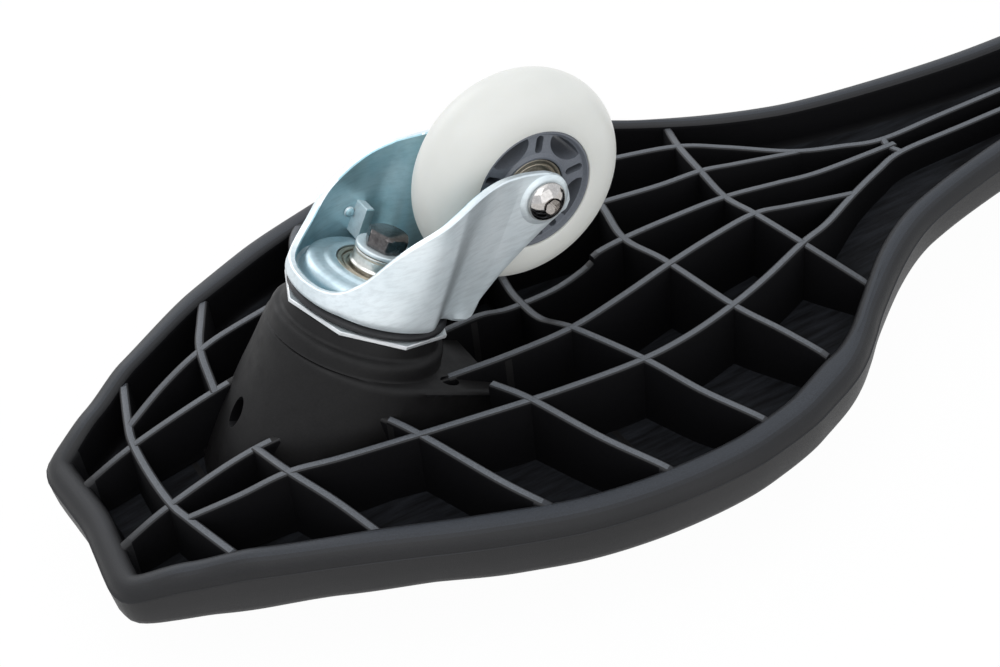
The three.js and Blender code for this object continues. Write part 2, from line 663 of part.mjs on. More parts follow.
function forkStations() {
  const lower = FORK_WALL.map(([u, footHalf, , foot]) => new THREE.Vector3(u, -footHalf, foot));
  const upper = FORK_WALL.map(([u, , topHalf, , top]) => new THREE.Vector3(u, -topHalf, top));
  const spline = (half) => {
    const twin = half.slice(1).reverse().map((p) => new THREE.Vector3(p.x, -p.y, p.z));
    return new THREE.CatmullRomCurve3([...twin, ...half], false, 'catmullrom');
  };
  const [low, high] = [spline(lower), spline(upper)];
  const steps = FORK_STEPS * 2;
  return Array.from({ length: steps + 1 }, (_, i) => {
    const share = i / steps;
    const tangent = low.getTangent(share);
    const flat = new THREE.Vector2(tangent.y, -tangent.x).normalize();
    return { foot: low.getPoint(share), top: high.getPoint(share), side: flat };
  });
}

function forkWall(stations) {
  const positions = [];
  const triangles = [];
  const sides = 5;
  for (const { foot, top, side } of stations) {
    const round = Math.min(SHEET_ROUND, (top.z - foot.z) * SHEET_ROUND_SHARE);
    const inFoot = foot.x > FOOT_FLARE_FROM && foot.x < FOOT_FLARE_TO;
    const flare = inFoot ? FOOT_FLARE : 0;
    const section = [
      [foot, -SHEET / 2, 0], [foot, SHEET / 2 - round / 2 + flare, 0],
      [foot, SHEET / 2 + flare, round], [top, SHEET / 2, 0], [top, -SHEET / 2, 0],
    ];
    for (const [at, off, rise] of section) {
      positions.push(at.x - side.x * off, at.y - side.y * off, at.z + rise);
    }
  }
  const last = (stations.length - 1) * sides;
  for (let s = 0; s < last; s += sides) {
    for (let k = 0; k < sides; k += 1) {
      const n = (k + 1) % sides;
      triangles.push(s + k, s + n, s + sides + k, s + n, s + sides + n, s + sides + k);
    }
  }
  for (let k = 1; k < sides - 1; k += 1) {
    triangles.push(0, k + 1, k, last, last + k, last + k + 1);
  }
  return toManifold(orient(meshFrom(positions, triangles)));
}

function forkBase(stations) {
  const shape = new THREE.Shape();
  const inside = stations.filter(({ foot }) => foot.x < BASE_REACH);
  inside.forEach(({ foot, side }, i) => {
    const x = foot.x - side.x * SHEET / 4;
    const y = foot.y - side.y * SHEET / 4;
    if (i === 0) shape.moveTo(x, y);
    else shape.lineTo(x, y);
  });
  shape.closePath();
  const prism = new THREE.ExtrudeGeometry(shape, { depth: BASE_DEPTH, bevelEnabled: false });
  const cup = turned([[CUP_BORE, CUP_FOOT], ...CUP_PROFILE], FORK_SEGMENTS);
  return cup.intersect(toManifold(prism));
}

function acrossFork(solid, u, w) {
  const matrix = new THREE.Matrix4().makeRotationX(Math.PI / 2);
  matrix.setPosition(u, 0, w);
  return moved(solid, matrix);
}

function armBosses() {
  const foot = ARM_OUTSIDE - ARM_BOSS_RISE - SHEET / 2;
  const profile = [
    [0, foot], [ARM_BOSS_RADIUS, foot], [ARM_BOSS_RADIUS, ARM_OUTSIDE - ARM_BOSS_RISE],
    [ARM_BOSS_TOP_RADIUS, ARM_OUTSIDE], [0, ARM_OUTSIDE],
  ];
  const near = turned(profile, RACE_SEGMENTS);
  const far = turned(profile.map(([radius, height]) => [radius, -height]), RACE_SEGMENTS);
  return near.add(far);
}

function forkTab() {
  const geometry = new THREE.BoxGeometry(...TAB_SIZE);
  geometry.translate(...TAB_PLACE);
  const dimple = new THREE.SphereGeometry(DIMPLE_RADIUS, SLOT_SEGMENTS, SLOT_SEGMENTS);
  dimple.translate(...DIMPLE_PLACE);
  return toManifold(geometry).add(toManifold(dimple));
}

function fork() {
  const stations = forkStations();
  const bosses = acrossFork(armBosses(), WHEEL_TRAIL, WHEEL_HEIGHT);
  const bore = acrossFork(disc(ARM_BORE, -AXLE_END, AXLE_END, SMALL_SEGMENTS), WHEEL_TRAIL, WHEEL_HEIGHT);
  const cupBore = disc(CUP_BORE, 0, BASE_DEPTH, FORK_SEGMENTS);
  const pressing = forkWall(stations).add(forkBase(stations)).add(bosses).add(forkTab());
  return pressing.subtract(cupBore).subtract(bore);
}

// Wheel pieces, in their own frame with Z along the axle, near side up

function tyre() {
  const profile = [[TYRE_INNER, -TYRE_FOOT_HALF_WIDTH]];
  for (let i = 0; i <= TYRE_ARC_STEPS; i += 1) {
    const angle = -Math.PI / 2 + Math.PI * i / TYRE_ARC_STEPS;
    const radius = TYRE_SIDE_RADIUS + (WHEEL_RADIUS - TYRE_SIDE_RADIUS) * Math.cos(angle);
    profile.push([radius, TYRE_HALF_WIDTH * Math.sin(angle)]);
  }
  profile.push([TYRE_INNER, TYRE_FOOT_HALF_WIDTH]);
  return turned(profile, TYRE_SEGMENTS);
}

function hub() {
  const half = [
    [HUB_SHOULDER, HUB_SHOULDER_HALF], [HUB_SEAT, HUB_SHOULDER_HALF], [HUB_SEAT, HUB_CORE_HALF],
    [HUB_CORE_RADIUS, HUB_CORE_HALF], [HUB_CORE_RADIUS, HUB_WEB_HALF], [HUB_WEB_OUTER, HUB_WEB_HALF],
    [HUB_RIM_INNER, HUB_RIM_HALF], [HUB_RADIUS, HUB_RIM_HALF],
  ];
  const profile = [...half, ...half.map(([radius, height]) => [radius, -height]).reverse()];
  let body = turned(profile, HUB_SEGMENTS);
  for (let i = 0; i < WINDOW_COUNT; i += 1) {
    const turn = Math.PI * 2 * i / WINDOW_COUNT;
    const cut = (radius, stretch, segments, angle) => {
      const geometry = new THREE.CylinderGeometry(radius, radius, TYRE_HALF_WIDTH + WHEEL_RADIUS, segments);
      geometry.rotateX(Math.PI / 2);
      geometry.scale(1, stretch, 1);
      geometry.translate(WINDOW_MIDDLE, 0, 0);
      geometry.rotateZ(angle);
      return toManifold(geometry);
    };
    body = body.subtract(cut(WINDOW_RADIAL, WINDOW_STRETCH, WINDOW_SEGMENTS, turn));
    body = body.subtract(cut(SLOT_RADIAL, SLOT_STRETCH, SLOT_SEGMENTS, turn + Math.PI / WINDOW_COUNT));
  }
  return body;
}

function bearingOuter(sign) {
  const inner = boreRadius(BEARING_INNER_RADIUS, RACE_SEGMENTS);
  const solid = shieldedRing(inner, BEARING_RADIUS, BEARING_NEAR, BEARING_FAR,
    BEARING_SHIELD_INNER, BEARING_SHIELD_OUTER, BEARING_SHIELD_DEPTH, RACE_SEGMENTS);
  return sign > 0 ? solid : moved(solid, new THREE.Matrix4().makeRotationX(Math.PI));
}

function sleeve(from, to, radius, sign) {
  const solid = ring(AXLE_BORE, radius, from, to, RACE_SEGMENTS);
  return sign > 0 ? solid : moved(solid, new THREE.Matrix4().makeRotationX(Math.PI));
}

function axleBolt() {
  const seat = ARM_OUTSIDE + PART_GAP;
  const top = seat + AXLE_HEAD_RISE;
  const rim = seat + AXLE_HEAD_RISE * AXLE_HEAD_RIM_SHARE;
  const profile = [[0, seat], [AXLE_HEAD_RADIUS, seat], [AXLE_HEAD_RADIUS, rim]];
  for (let i = 1; i <= AXLE_DOME_STEPS; i += 1) {
    const share = i / AXLE_DOME_STEPS;
    const rise = AXLE_HEAD_RIM_SHARE + (1 - AXLE_HEAD_RIM_SHARE) * Math.sin(Math.PI / 2 * share);
    profile.push([AXLE_HEAD_RADIUS * Math.cos(AXLE_DOME_ANGLE * share), seat + AXLE_HEAD_RISE * rise]);
  }
  profile.push([0, top]);
  const socket = polygonBar(HEX_SIDES, SOCKET_FLATS, top - SOCKET_DEPTH, top + SOCKET_DEPTH, 0);
  const shank = disc(AXLE_RADIUS, -AXLE_END, seat + PART_GAP, SMALL_SEGMENTS);
  return turned(profile, RACE_SEGMENTS).subtract(socket).add(shank.subtract(socket));
}

function axleNut() {
  const seat = -ARM_OUTSIDE - PART_GAP;
  const hex = polygonBar(HEX_SIDES, AXLE_NUT_FLATS, seat - AXLE_NUT_HEX, seat, 0);
  const collarTop = seat - AXLE_NUT_HEX + PART_GAP;
  const collar = disc(AXLE_NUT_TOP_RADIUS, seat - AXLE_NUT_TOP, collarTop, SMALL_SEGMENTS);
  return hex.add(collar).subtract(disc(AXLE_BORE, -AXLE_END - SHEET, seat + SHEET, SMALL_SEGMENTS));
}

function caster(prefix, casterX) {
  const place = casterMatrix(casterX);
  const onAxle = new THREE.Matrix4().makeRotationX(Math.PI / 2).setPosition(WHEEL_TRAIL, 0, WHEEL_HEIGHT);
  const wheelPlace = new THREE.Matrix4().multiplyMatrices(place, onAxle);
  const add = (name, solid, colour, matrix) => {
    return node(`${prefix}_${name}`, toGeometry(moved(solid, matrix)), colour);
  };
  const swivel = (name, solid, colour) => add(name, solid, colour, place);
  const wheel = (name, solid, colour) => add(name, solid, colour, wheelPlace);
  const pivotOuter = shieldedRing(boreRadius(INNER_RACE_RADIUS, FORK_SEGMENTS), OUTER_RACE_RADIUS,
    RACE_FOOT + PART_GAP, RACE_TOP, SHIELD_INNER, SHIELD_OUTER, SHIELD_DEPTH, FORK_SEGMENTS);
  const washer = ring(BOLT_BORE_RADIUS, WASHER_RADIUS, WASHER_FOOT, WASHER_TOP, RACE_SEGMENTS);
  const innerRace = ring(BOLT_BORE_RADIUS, INNER_RACE_RADIUS, RACE_FOOT, RACE_TOP, RACE_SEGMENTS);
  const spacer = ring(AXLE_BORE, BEARING_INNER_RADIUS, -SPACER_HALF, SPACER_HALF, SMALL_SEGMENTS);
  const race = (sign) => sleeve(BEARING_NEAR, BEARING_FAR, BEARING_INNER_RADIUS, sign);
  const armSleeve = (sign) => sleeve(SLEEVE_NEAR, SLEEVE_FAR, SLEEVE_RADIUS, sign);
  return [
    swivel('base_plate', basePlate(), COLOURS.zinc),
    swivel('dust_seal', dustSeal(), COLOURS.seal),
    swivel('pivot_nut', pivotNut(), COLOURS.steel),
    swivel('pivot_bolt', pivotBolt(), COLOURS.darkChrome),
    swivel('pivot_washer', washer, COLOURS.zinc),
    swivel('pivot_spacer', pivotSpacer(), COLOURS.race),
    swivel('pivot_inner_race', innerRace, COLOURS.race),
    swivel('pivot_outer_race', pivotOuter, COLOURS.race),
    swivel('fork', fork(), COLOURS.zinc),
    wheel('axle_bolt', axleBolt(), COLOURS.chrome),
    wheel('axle_nut', axleNut(), COLOURS.steel),
    wheel('axle_sleeve_near', armSleeve(1), COLOURS.steel),
    wheel('axle_sleeve_far', armSleeve(-1), COLOURS.steel),
    wheel('bearing_inner_near', race(1), COLOURS.race),
    wheel('bearing_inner_far', race(-1), COLOURS.race),
    wheel('bearing_spacer', spacer, COLOURS.steel),
    wheel('bearing_outer_near', bearingOuter(1), COLOURS.shield),
    wheel('bearing_outer_far', bearingOuter(-1), COLOURS.shield),
    wheel('hub', hub(), COLOURS.hub),
    wheel('tyre', tyre(), COLOURS.tyre),
  ];
}

const group = new THREE.Group();
group.name = 'caster_board';
const deck = deckHalves();
group.add(node('front_deck', deck.front, COLOURS.deck), node('rear_deck', deck.rear, COLOURS.deck));
group.add(...caster('front', FRONT_CASTER_X), ...caster('rear', REAR_CASTER_X));

export default group;
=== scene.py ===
import math
import bmesh
import bpy
import numpy as np
from mathutils import Matrix, Vector


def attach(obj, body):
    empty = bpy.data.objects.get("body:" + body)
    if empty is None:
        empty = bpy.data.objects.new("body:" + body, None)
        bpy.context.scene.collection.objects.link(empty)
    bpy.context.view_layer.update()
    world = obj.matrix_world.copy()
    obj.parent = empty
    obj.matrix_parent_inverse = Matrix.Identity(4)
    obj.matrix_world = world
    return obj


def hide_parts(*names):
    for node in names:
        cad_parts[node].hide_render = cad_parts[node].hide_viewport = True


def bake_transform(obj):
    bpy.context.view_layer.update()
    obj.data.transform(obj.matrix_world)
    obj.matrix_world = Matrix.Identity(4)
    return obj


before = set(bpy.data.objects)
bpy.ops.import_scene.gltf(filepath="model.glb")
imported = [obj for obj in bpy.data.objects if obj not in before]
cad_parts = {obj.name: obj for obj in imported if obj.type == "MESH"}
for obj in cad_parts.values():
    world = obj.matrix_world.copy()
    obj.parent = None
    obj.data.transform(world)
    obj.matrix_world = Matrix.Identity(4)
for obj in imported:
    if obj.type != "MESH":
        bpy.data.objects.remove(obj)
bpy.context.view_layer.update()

# The board lies upside down, as photographed. Sizes are in millimetres: X runs from the nose to
# the tail, Z is up, and the origin is under the middle of the waist. A caster's pieces are built
# in its own frame, with Z on the swivel axis, X the way it trails, and 0 on the base plate. A
# wheel's frame has Z on the axle, towards the near side, and 0 in the middle of the wheel.
MM = 0.001
HALF_TURN, QUARTER_TURN = math.pi, math.pi / 2
WELD = 1e-7  # points closer than this, in metres, are one
SHARP, FINE_SHARP = 38, 34  # edges above these angles, in degrees, stay sharp

# Deck, nose to waist: (x, half width), then (x, height) and (x, width)
OUTLINE = [
    (-430, 0), (-430.8, 12), (-431.8, 24), (-431.8, 31.5), (-428.8, 38.4), (-418, 45.4),
    (-406, 52.3), (-391.6, 61), (-368, 74.2), (-348.5, 84), (-326, 94.2), (-300, 103.4),
    (-280, 108), (-260, 110.2), (-240, 110.4), (-225, 108.4), (-212, 105.6), (-203, 102.4),
    (-190, 97.2), (-180, 91.6), (-169.5, 83.6), (-158, 74.2), (-137, 59.8), (-118, 49.8),
    (-99, 43.8), (-75, 38.7), (-52, 35), (-26, 32.2), (0, 31.2)]
LIP_HEIGHTS = [
    (-432, 17.5), (-412, 23.2), (-394, 27.8), (-360, 30.6), (-330, 30.2), (-300, 29),
    (-240, 28.6), (-172, 28), (-118, 30.8), (-52, 31.8), (0, 32.4)]
FACE_HEIGHTS = [
    (-432, 0), (-425, 0.4), (-405, 3), (-372, 8.1), (-345, 9.6), (-320, 8), (-300, 7.2),
    (-250, 7), (-205, 7.4), (-170, 8), (-110, 11.4), (-52, 11.8), (0, 11.6)]
LIP_WIDTHS = [
    (-432, 10), (-400, 9.6), (-370, 10.4), (-335, 11.8), (-215, 11.8), (-190, 12.2),
    (-178, 10.2), (-165, 8.4), (-130, 10), (0, 10.5)]
SKIN = 3.5  # from the standing face to the floor of the cells
LIP_REACH, LIP_COVER = 3, 3.4  # how far a rib runs into the lip, and how deep under its top
RIM_SPAN_STEPS, RIM_STEP, TIP_POINTS = 12, 3.2, 14

# Ribs: points (x, y, top height) of each one's middle line
RIB_CENTRE = [
    (-300, 0, 31), (-279, 0, 31.3), (-266, 0, 28.4), (-248, 0, 28), (-236, 0, 30.6),
    (-230.4, 0, 33.4), (-229.6, 0, 35.8), (-217, 0, 37.3), (-195, 0, 37.3), (-172, 0, 36.1),
    (-148, 0, 32), (-127, 0, 28.4), (-91, 0, 26.5)]
RIB_INNER = [
    (-424, 17.1, 16.4), (-403.3, 16.9, 25), (-372, 17.2, 32.7), (-345, 20, 34), (-300, 26, 34.5),
    (-280, 28.5, 35), (-258, 30, 36), (-236, 27.5, 37.4), (-212, 22.7, 38), (-189, 18.6, 38),
    (-171, 16.9, 38), (-156, 16.9, 34.6), (-141, 17.1, 31), (-124, 17.1, 27)]
RIB_OUTER = [
    (-401.8, 26, 25.2), (-385, 32.4, 31), (-368.4, 36.6, 35.6), (-349, 41.7, 36),
    (-299, 51, 35.7), (-272, 54.6, 35), (-247, 57, 35), (-227, 55.8, 35), (-206, 51.5, 35),
    (-188, 46.5, 35.4), (-166, 38.5, 35.5), (-149, 31, 32), (-126.5, 18.3, 27.6),
    (-108, 10.5, 26.6), (-92, 5.5, 26), (-60, 5.5, 25.5), (0, 5.5, 24.5)]
ARC_1 = [(-404, 0, 24.8), (-403.3, 16.9, 25), (-401.2, 27.3, 25.4), (-394.2, 51.4, 24.6)]
ARC_2 = [(-372, 16.4, 32.7), (-368.4, 36.6, 35.6), (-361, 55, 33), (-353.2, 74, 27.4)]
ARC_3 = [(-337, 27.6, 39.8), (-326.6, 45, 36), (-314.2, 77, 33), (-305, 92, 28.6)]
ARC_4 = [(-294.5, 38, 35.4), (-288, 52.4, 35.6), (-277.6, 79, 33), (-266, 99, 28.8)]
ARC_5 = [
    (-260.6, 0, 28.2), (-260, 12, 29), (-257.8, 30, 36), (-246.5, 57, 35), (-238.6, 79, 32.6),
    (-228, 98, 28.6)]
ARC_6 = [
    (-216.7, 0, 37.3), (-212.7, 20.6, 38), (-206, 51.5, 35), (-198.6, 69, 32),
    (-191.6, 83, 27.6)]
ARC_7 = [(-171.9, 0, 36.1), (-171, 16.9, 38), (-166, 38.5, 35.5), (-156, 60.5, 27.4)]
SPINE_END = [(-92, -5.5, 26), (-94, 0, 26.4), (-92, 5.5, 26)]
# The tail's plinth leans away from its ribs, so two arcs start further in and one rib is added.
TAIL_START_3, TAIL_START_4 = (-335, 20.8, 34.6), (-300, 26, 34.5)
TAIL_BRIDGE = [(-372, -17, 32.7), (-373, 0, 32.4), (-372, 17, 32.7)]
RIB_SPAN_STEPS, RIB_STEP = 10, 2.5
RIB_FOOT = 1.8  # above the standing face, inside the skin
# Half section of a rib: (offset, height, whether that is above the foot and not above the top)
RIB_HALF = [(2.8, 1.2, True), (2.15, 3.4, True), (1.85, -1.0, False), (1.55, -0.32, False),
            (1, 0, False)]

# Casters: the plinth's middle along X, and the wheel's place in the caster's frame
TILT = math.radians(28)
CASTER_Z = 57.3
CASTERS = {"front": -318.8, "rear": 197.4}
TRAIL, AXLE_W = 41.5, 51.2

# Plinth: the turned collar as (radius, height), the body as (half width, height)
COLLAR = [
    (0, -1.8), (26.8, -1.8), (27, -2.2), (27.1, -5.8), (27.4, -6.6), (28.2, -7.1), (29.2, -7.5),
    (29.9, -8.2), (30.2, -9.2), (30.4, -10.6), (30.5, -12.2), (30.6, -12.9), (30.8, -13.2)]
BODY = [
    (32.9, -13.4), (33.8, -13.6), (34.5, -14.1), (34.9, -14.9), (35, -16), (35.5, -21),
    (36.4, -29), (37.4, -36), (38.4, -45), (39.4, -52), (39.8, -60), (39.8, -74)]
BODY_MIDDLE = 4.4
BODY_END, BODY_END_SLOPE = 37, 0.53  # ahead of the middle at the ledge, and its growth below
PLINTH_FOOT = 1.6  # above the standing face, inside the skin
PLINTH_POINTS = 144
# Its holes: middle and half sizes of two ovals, and the pocket under the pivot nut
SIDE_HOLE, SIDE_HOLE_SIZE = (-34, 2.2, -45.6), (1, 3, 5.8)
SHOULDER_HOLE, SHOULDER_HOLE_SIZE = (22.4, -28.6, -16), (3.5, 2.8, 1)
NUT_POCKET = [(0, -90), (10, -90), (10, -14.3), (0, -14.3)]

# Fork: (place along the trail, half width at the foot, half width at the top, foot, top)
FORK_WALL = [
    (-28.2, 0, 0, 3.8, 9), (-27.7, 5.2, 5.2, 3.8, 9.1), (-25.8, 11.7, 11.4, 3.8, 9.8),
    (-22.4, 17.3, 16.4, 3.8, 12), (-17.8, 22.2, 20.6, 3.8, 18.2), (-13, 25.4, 23.9, 3.8, 27.8),
    (-7, 27.5, 25.6, 3.8, 35.4), (0, 28.2, 26.4, 3.8, 42), (7, 27.6, 24.5, 3.8, 48.1),
    (9.5, 26.3, 23.4, 3.8, 50), (12, 23.4, 22.4, 3.8, 51.7), (15, 20, 21.3, 3.8, 53.6),
    (17.5, 18.4, 20.5, 3.8, 55), (21, 17.6, 19.5, 3.8, 56.6), (24, 17.5, 18.8, 3.8, 57.6),
    (29.4, 17.3, 17.6, 4.6, 58.8), (31.2, 17.3, 17.4, 11.2, 59.2), (35.5, 17.3, 17.3, 21, 60.1),
    (39.4, 17.3, 17.3, 28, 60.6), (43.4, 17.3, 17.3, 34.6, 60), (47.2, 17.3, 17.3, 40.4, 58.2),
    (50.2, 17.3, 17.3, 44.4, 55.4), (52, 17.3, 17.3, 47.4, 52.4)]
HALF_SHEET = 1.25
FOOT_BEND, EDGE_BEVEL = 3.2, 0.45
LEG, LEG_END, LEG_FADE = 6.0, 23, 4  # the foot's turn under the cup, gone by LEG_END
FLARE, FLARE_MIDDLE, FLARE_HALF = 1.7, 25.5, 5  # the foot's outward bulge beside the joggle
FORK_SPAN_STEPS, FORK_STEP = 12, 1.6
# Fork base: where the wall stops bounding it, its own straight end, and its lower and upper edge
BASE_WALL_END, BASE_END, BASE_POINTS = 21.5, 21.6, 96
BASE_EDGE = [(0.995, 3.8), (1, 4.2), (1, 6.0), (0.99, 6.3)]  # (share of its reach, height)
# The bearing cup in the fork's base, (radius, height)
CUP = [
    (25.4, 6.3), (25, 6.5), (24.6, 7.2), (24.4, 8.4), (24.2, 9.8), (23.9, 10.8), (23.3, 11.6),
    (22.2, 12.1), (20.6, 12.4), (18.8, 12.6), (18.2, 12.8), (17.6, 13.3), (16.8, 13.6),
    (14.8, 13.6), (14.4, 13.4), (14.3, 13.0), (14.3, 3.8)]
BOSS = [(0, 17.4), (9.4, 17.4), (9.2, 18.6), (8.7, 18.95), (8.1, 19.3), (7.5, 19.42), (0, 19.45)]
TAB_SIZE, TAB_PLACE = (3.4, 8, 12), (3.5, 22.8, 18.6)
DIMPLE = [(0, -1.5), (1, -1.3), (1.7, -0.75), (2, 0), (1.4, 0.3), (0, 0.3)]
DIMPLE_PLACE = (0.2, 26.0, 19.8)

# Swivel fasteners, (radius, height)
BORE = 4.2  # of every ring, sleeve and washer
PLATE_SIDES = 8
PLATE_RINGS = [(29.0, -1.5), (29.4, -1.2), (29.4, -0.25), (29.1, 0), (BORE, 0), (BORE, -1.5)]
SEAL = [(8.1, 0.3), (26.6, 0.3), (27.8, 1), (27.8, 2.1), (26.6, 3.4), (8.1, 3.4)]
WASHER = [(BORE, 19.3), (9.6, 19.3), (9.75, 19.8), (9.7, 20.5), (9.2, 20.8), (BORE, 20.8)]
SPACER = [
    (BORE, 13.5), (10.0, 13.5), (10.05, 14.0), (9.5, 14.8), (9.35, 16.2), (9.35, 17.6),
    (9.6, 18.4), (9.6, 19.0), (BORE, 19.0)]
PIVOT_SHANK = [(0, -24), (3.6, -24), (3.9, -23.6), (3.9, 21.4), (0, 21.4)]
PIVOT_CAP = [(0, 26.32), (4.6, 26.32), (5.0, 26.25), (5.5, 26.42), (5.2, 26.5), (0, 26.46)]
PIVOT_OUTER_RACE = [
    (8.45, 4.5), (14, 4.5), (14, 12.9), (13.8, 13.1), (12.6, 13.1), (12.35, 12.9),
    (12.25, 12.3), (12.0, 12.3), (11.9, 12.75), (11.6, 12.9), (10.8, 12.9), (10.5, 12.7),
    (10.4, 12.2), (8.45, 12.2)]
HEX_FLATS, HEX_CORNER, HEX_POINTS = 13, 0.25, 72
PIVOT_HEAD_TURN, SOCKET_TURN = math.radians(34), math.radians(12)

# Axle and wheel, (radius, distance from the wheel's middle)
SEAT = 19.75  # the arm's outer face
HEAD_RADIUS, HEAD_RISE, HEAD_STEPS = 7.05, 3.9, 12
SOCKET_FLATS = 5.2
NUT_COLLAR = [(BORE, -SEAT - 7.2), (5.4, -SEAT - 7.2), (5.6, -SEAT - 5.2), (BORE, -SEAT - 5.2)]
AXLE_SHANK = [(0, -27.6), (3.6, -27.6), (3.9, -27.2), (3.9, SEAT + 0.2), (0, SEAT + 0.2)]
BEARING = [
    (6.08, 4.5), (11, 4.5), (11, 11.3), (10.8, 11.5), (9.9, 11.5), (9.7, 11.35), (9.5, 11.0),
    (9.1, 11.0), (8.9, 11.2), (7.3, 11.2), (7.1, 11.05), (6.9, 11.1), (6.08, 11.1)]
TYRE_MIDDLE, TYRE_BULGE, TYRE_HALF, TYRE_STEPS = 24.6, 13.4, 12.9, 48
TYRE_SEAT = [(22.5, 12.9), (21.8, 12.6), (21.75, 12.2)]
HUB_HALF = [
    (9.2, 4.2), (11.3, 4.2), (11.3, 11.7), (11.6, 11.9), (12.2, 11.9), (12.5, 11.6),
    (12.7, 11.2), (13.1, 10.9), (19.9, 10.9), (20.3, 11.3), (20.6, 12.0), (20.9, 12.3),
    (21.4, 12.3), (21.7, 12.0)]
HUB_BEVEL = 0.35
SPOKES, SPOKE_TURN = 5, math.radians(31.5)
WINDOW_RIM, WINDOW_REACH = 19.8, 0.37
WINDOW_MIDDLE, WINDOW_DEPTH, WINDOW_HALF = 18.4, 5, 7.25
SLOT_ENDS, SLOT_HALF = (18.3, 14.5), 1.35
CUTTER_HALF = 30


# Curves
def along(points, x):
    """Values at x, halfway between straight runs and smooth steps from point to point."""
    x = np.asarray(x, float)
    xs = np.array([p[0] for p in points], float)
    vs = np.array([p[1] for p in points], float)
    i = np.clip(np.searchsorted(xs, x, side="right") - 1, 0, len(xs) - 2)
    s = np.clip((x - xs[i]) / (xs[i + 1] - xs[i]), 0, 1)
    e = (s + s * s * (3 - 2 * s)) / 2
    return vs[i] + (vs[i + 1] - vs[i]) * e


def spline(points, per):
    """Catmull-Rom through the points, per samples to each span."""
    p = np.array(points, float)
    ext = np.vstack([2 * p[0] - p[1], p, 2 * p[-1] - p[-2]])
    out = []
    t = np.linspace(0, 1, per, endpoint=False)[:, None]
    for i in range(1, len(ext) - 2):
        a, b, c, d = ext[i - 1], ext[i], ext[i + 1], ext[i + 2]
        out.append(0.5 * (2 * b + (c - a) * t + (2 * a - 5 * b + 4 * c - d) * t**2
                          + (3 * b - a - 3 * c + d) * t**3))
    out.append(p[-1:])
    return np.vstack(out)


def even(line, step):
    """The same line with points a step apart."""
    gaps = np.linalg.norm(np.diff(line, axis=0), axis=1)
    run = np.concatenate([[0], np.cumsum(gaps)])
    n = max(int(round(run[-1] / step)), 2)
    at = np.linspace(0, run[-1], n + 1)
    return np.stack([np.interp(at, run, line[:, k]) for k in range(line.shape[1])], 1)


def rounded(profile, radius, steps=4):
    """A closed profile with its corners rounded, each by less than half of its edges."""
    p = [np.array(q, float) for q in profile]
    out = []
    for i, b in enumerate(p):
        a, c = p[i - 1], p[(i + 1) % len(p)]
        la, lc = np.linalg.norm(a - b), np.linalg.norm(c - b)
        r = min(radius, la * 0.45, lc * 0.45)
        u, v = (a - b) / la, (c - b) / lc
        if r < 1e-4 or abs(float(u @ v) + 1) < 1e-3:
            out.append(b)
            continue
        s, e = b + u * r, b + v * r
        for k in range(steps + 1):
            t = k / steps
            out.append((1 - t) ** 2 * s + 2 * t * (1 - t) * b + t * t * e)
    return [tuple(q) for q in out]


def box_profile(inner, low, outer, high, radius):
    """A rounded ring section between two radii and two heights."""
    return rounded([(inner, low), (outer, low), (outer, high), (inner, high)], radius)


def flipped(profile, side):
    return [(r, z * side) for r, z in profile]


def polar(radius, angle):
    return radius * math.cos(angle), radius * math.sin(angle)


def unit(rows):
    return rows / np.linalg.norm(rows, axis=1)[:, None]


def level(xy, z):
    """Flat points at one height, or at a height each."""
    return np.column_stack([xy, np.zeros(len(xy)) + z])


# Meshes
def make(name, verts, faces, sharp=SHARP):
    """An object from points in millimetres, smooth up to the sharp angle."""
    data = bpy.data.meshes.new(name)
    data.from_pydata([tuple(v) for v in np.array(verts, float) * MM], [],
                     [tuple(int(i) for i in f) for f in faces])
    data.validate()
    obj = bpy.data.objects.new(name, data)
    bpy.context.scene.collection.objects.link(obj)
    b = bmesh.new()
    b.from_mesh(data)
    bmesh.ops.remove_doubles(b, verts=b.verts, dist=WELD)
    bmesh.ops.recalc_face_normals(b, faces=b.faces)
    b.to_mesh(data)
    b.free()
    data.shade_smooth()
    data.set_sharp_from_angle(angle=math.radians(sharp))
    return obj


def grid(rings, closed_around=True, closed_along=False):
    """Faces between each ring and the next."""
    n, m = len(rings), len(rings[0])
    faces = []
    for r in range(n if closed_along else n - 1):
        q = (r + 1) % n
        for i in range(m if closed_around else m - 1):
            j = (i + 1) % m
            faces.append((r * m + i, r * m + j, q * m + j, q * m + i))
    return faces


def capped(rings):
    """A closed body through the rings, with a face over each end."""
    verts = [p for ring in rings for p in ring]
    m = len(rings[0])
    return verts, grid(rings) + [list(range(m)), [len(verts) - 1 - i for i in range(m)]]


def lathe(profile, segments):
    """A turned form about Z; the profile closes on itself or ends on the axis."""
    rings = []
    for i in range(segments):
        a = 2 * math.pi * i / segments
        rings.append([(*polar(r, a), z) for r, z in profile])
    verts = [v for ring in rings for v in ring]
    off_axis = profile[0][0] > 1e-6
    return verts, grid(rings, closed_around=off_axis, closed_along=True)


def moved(verts, matrix):
    m = np.array(matrix)
    return np.array(verts, float) @ m[:3, :3].T + m[:3, 3]


def join(parts):
    verts, faces, base = [], [], 0
    for v, f in parts:
        verts.append(np.array(v, float))
        faces += [tuple(i + base for i in q) for q in f]
        base += len(v)
    return np.vstack(verts), faces


def cut_away(parts, cutters):
    """The parts, each with every cutter's form taken out."""
    out = []
    cut = make("cutter", *join(cutters))
    for part in parts:
        obj = make("uncut", *part)
        mod = obj.modifiers.new("cut", "BOOLEAN")
        mod.operation, mod.object, mod.solver = "DIFFERENCE", cut, "EXACT"
        deps = bpy.context.evaluated_depsgraph_get()
        data = bpy.data.meshes.new_from_object(obj.evaluated_get(deps))
        verts = np.array([tuple(v.co) for v in data.vertices]) / MM
        out.append((verts, [tuple(p.vertices) for p in data.polygons]))
        bpy.data.objects.remove(obj)
    bpy.data.objects.remove(cut)
    return out


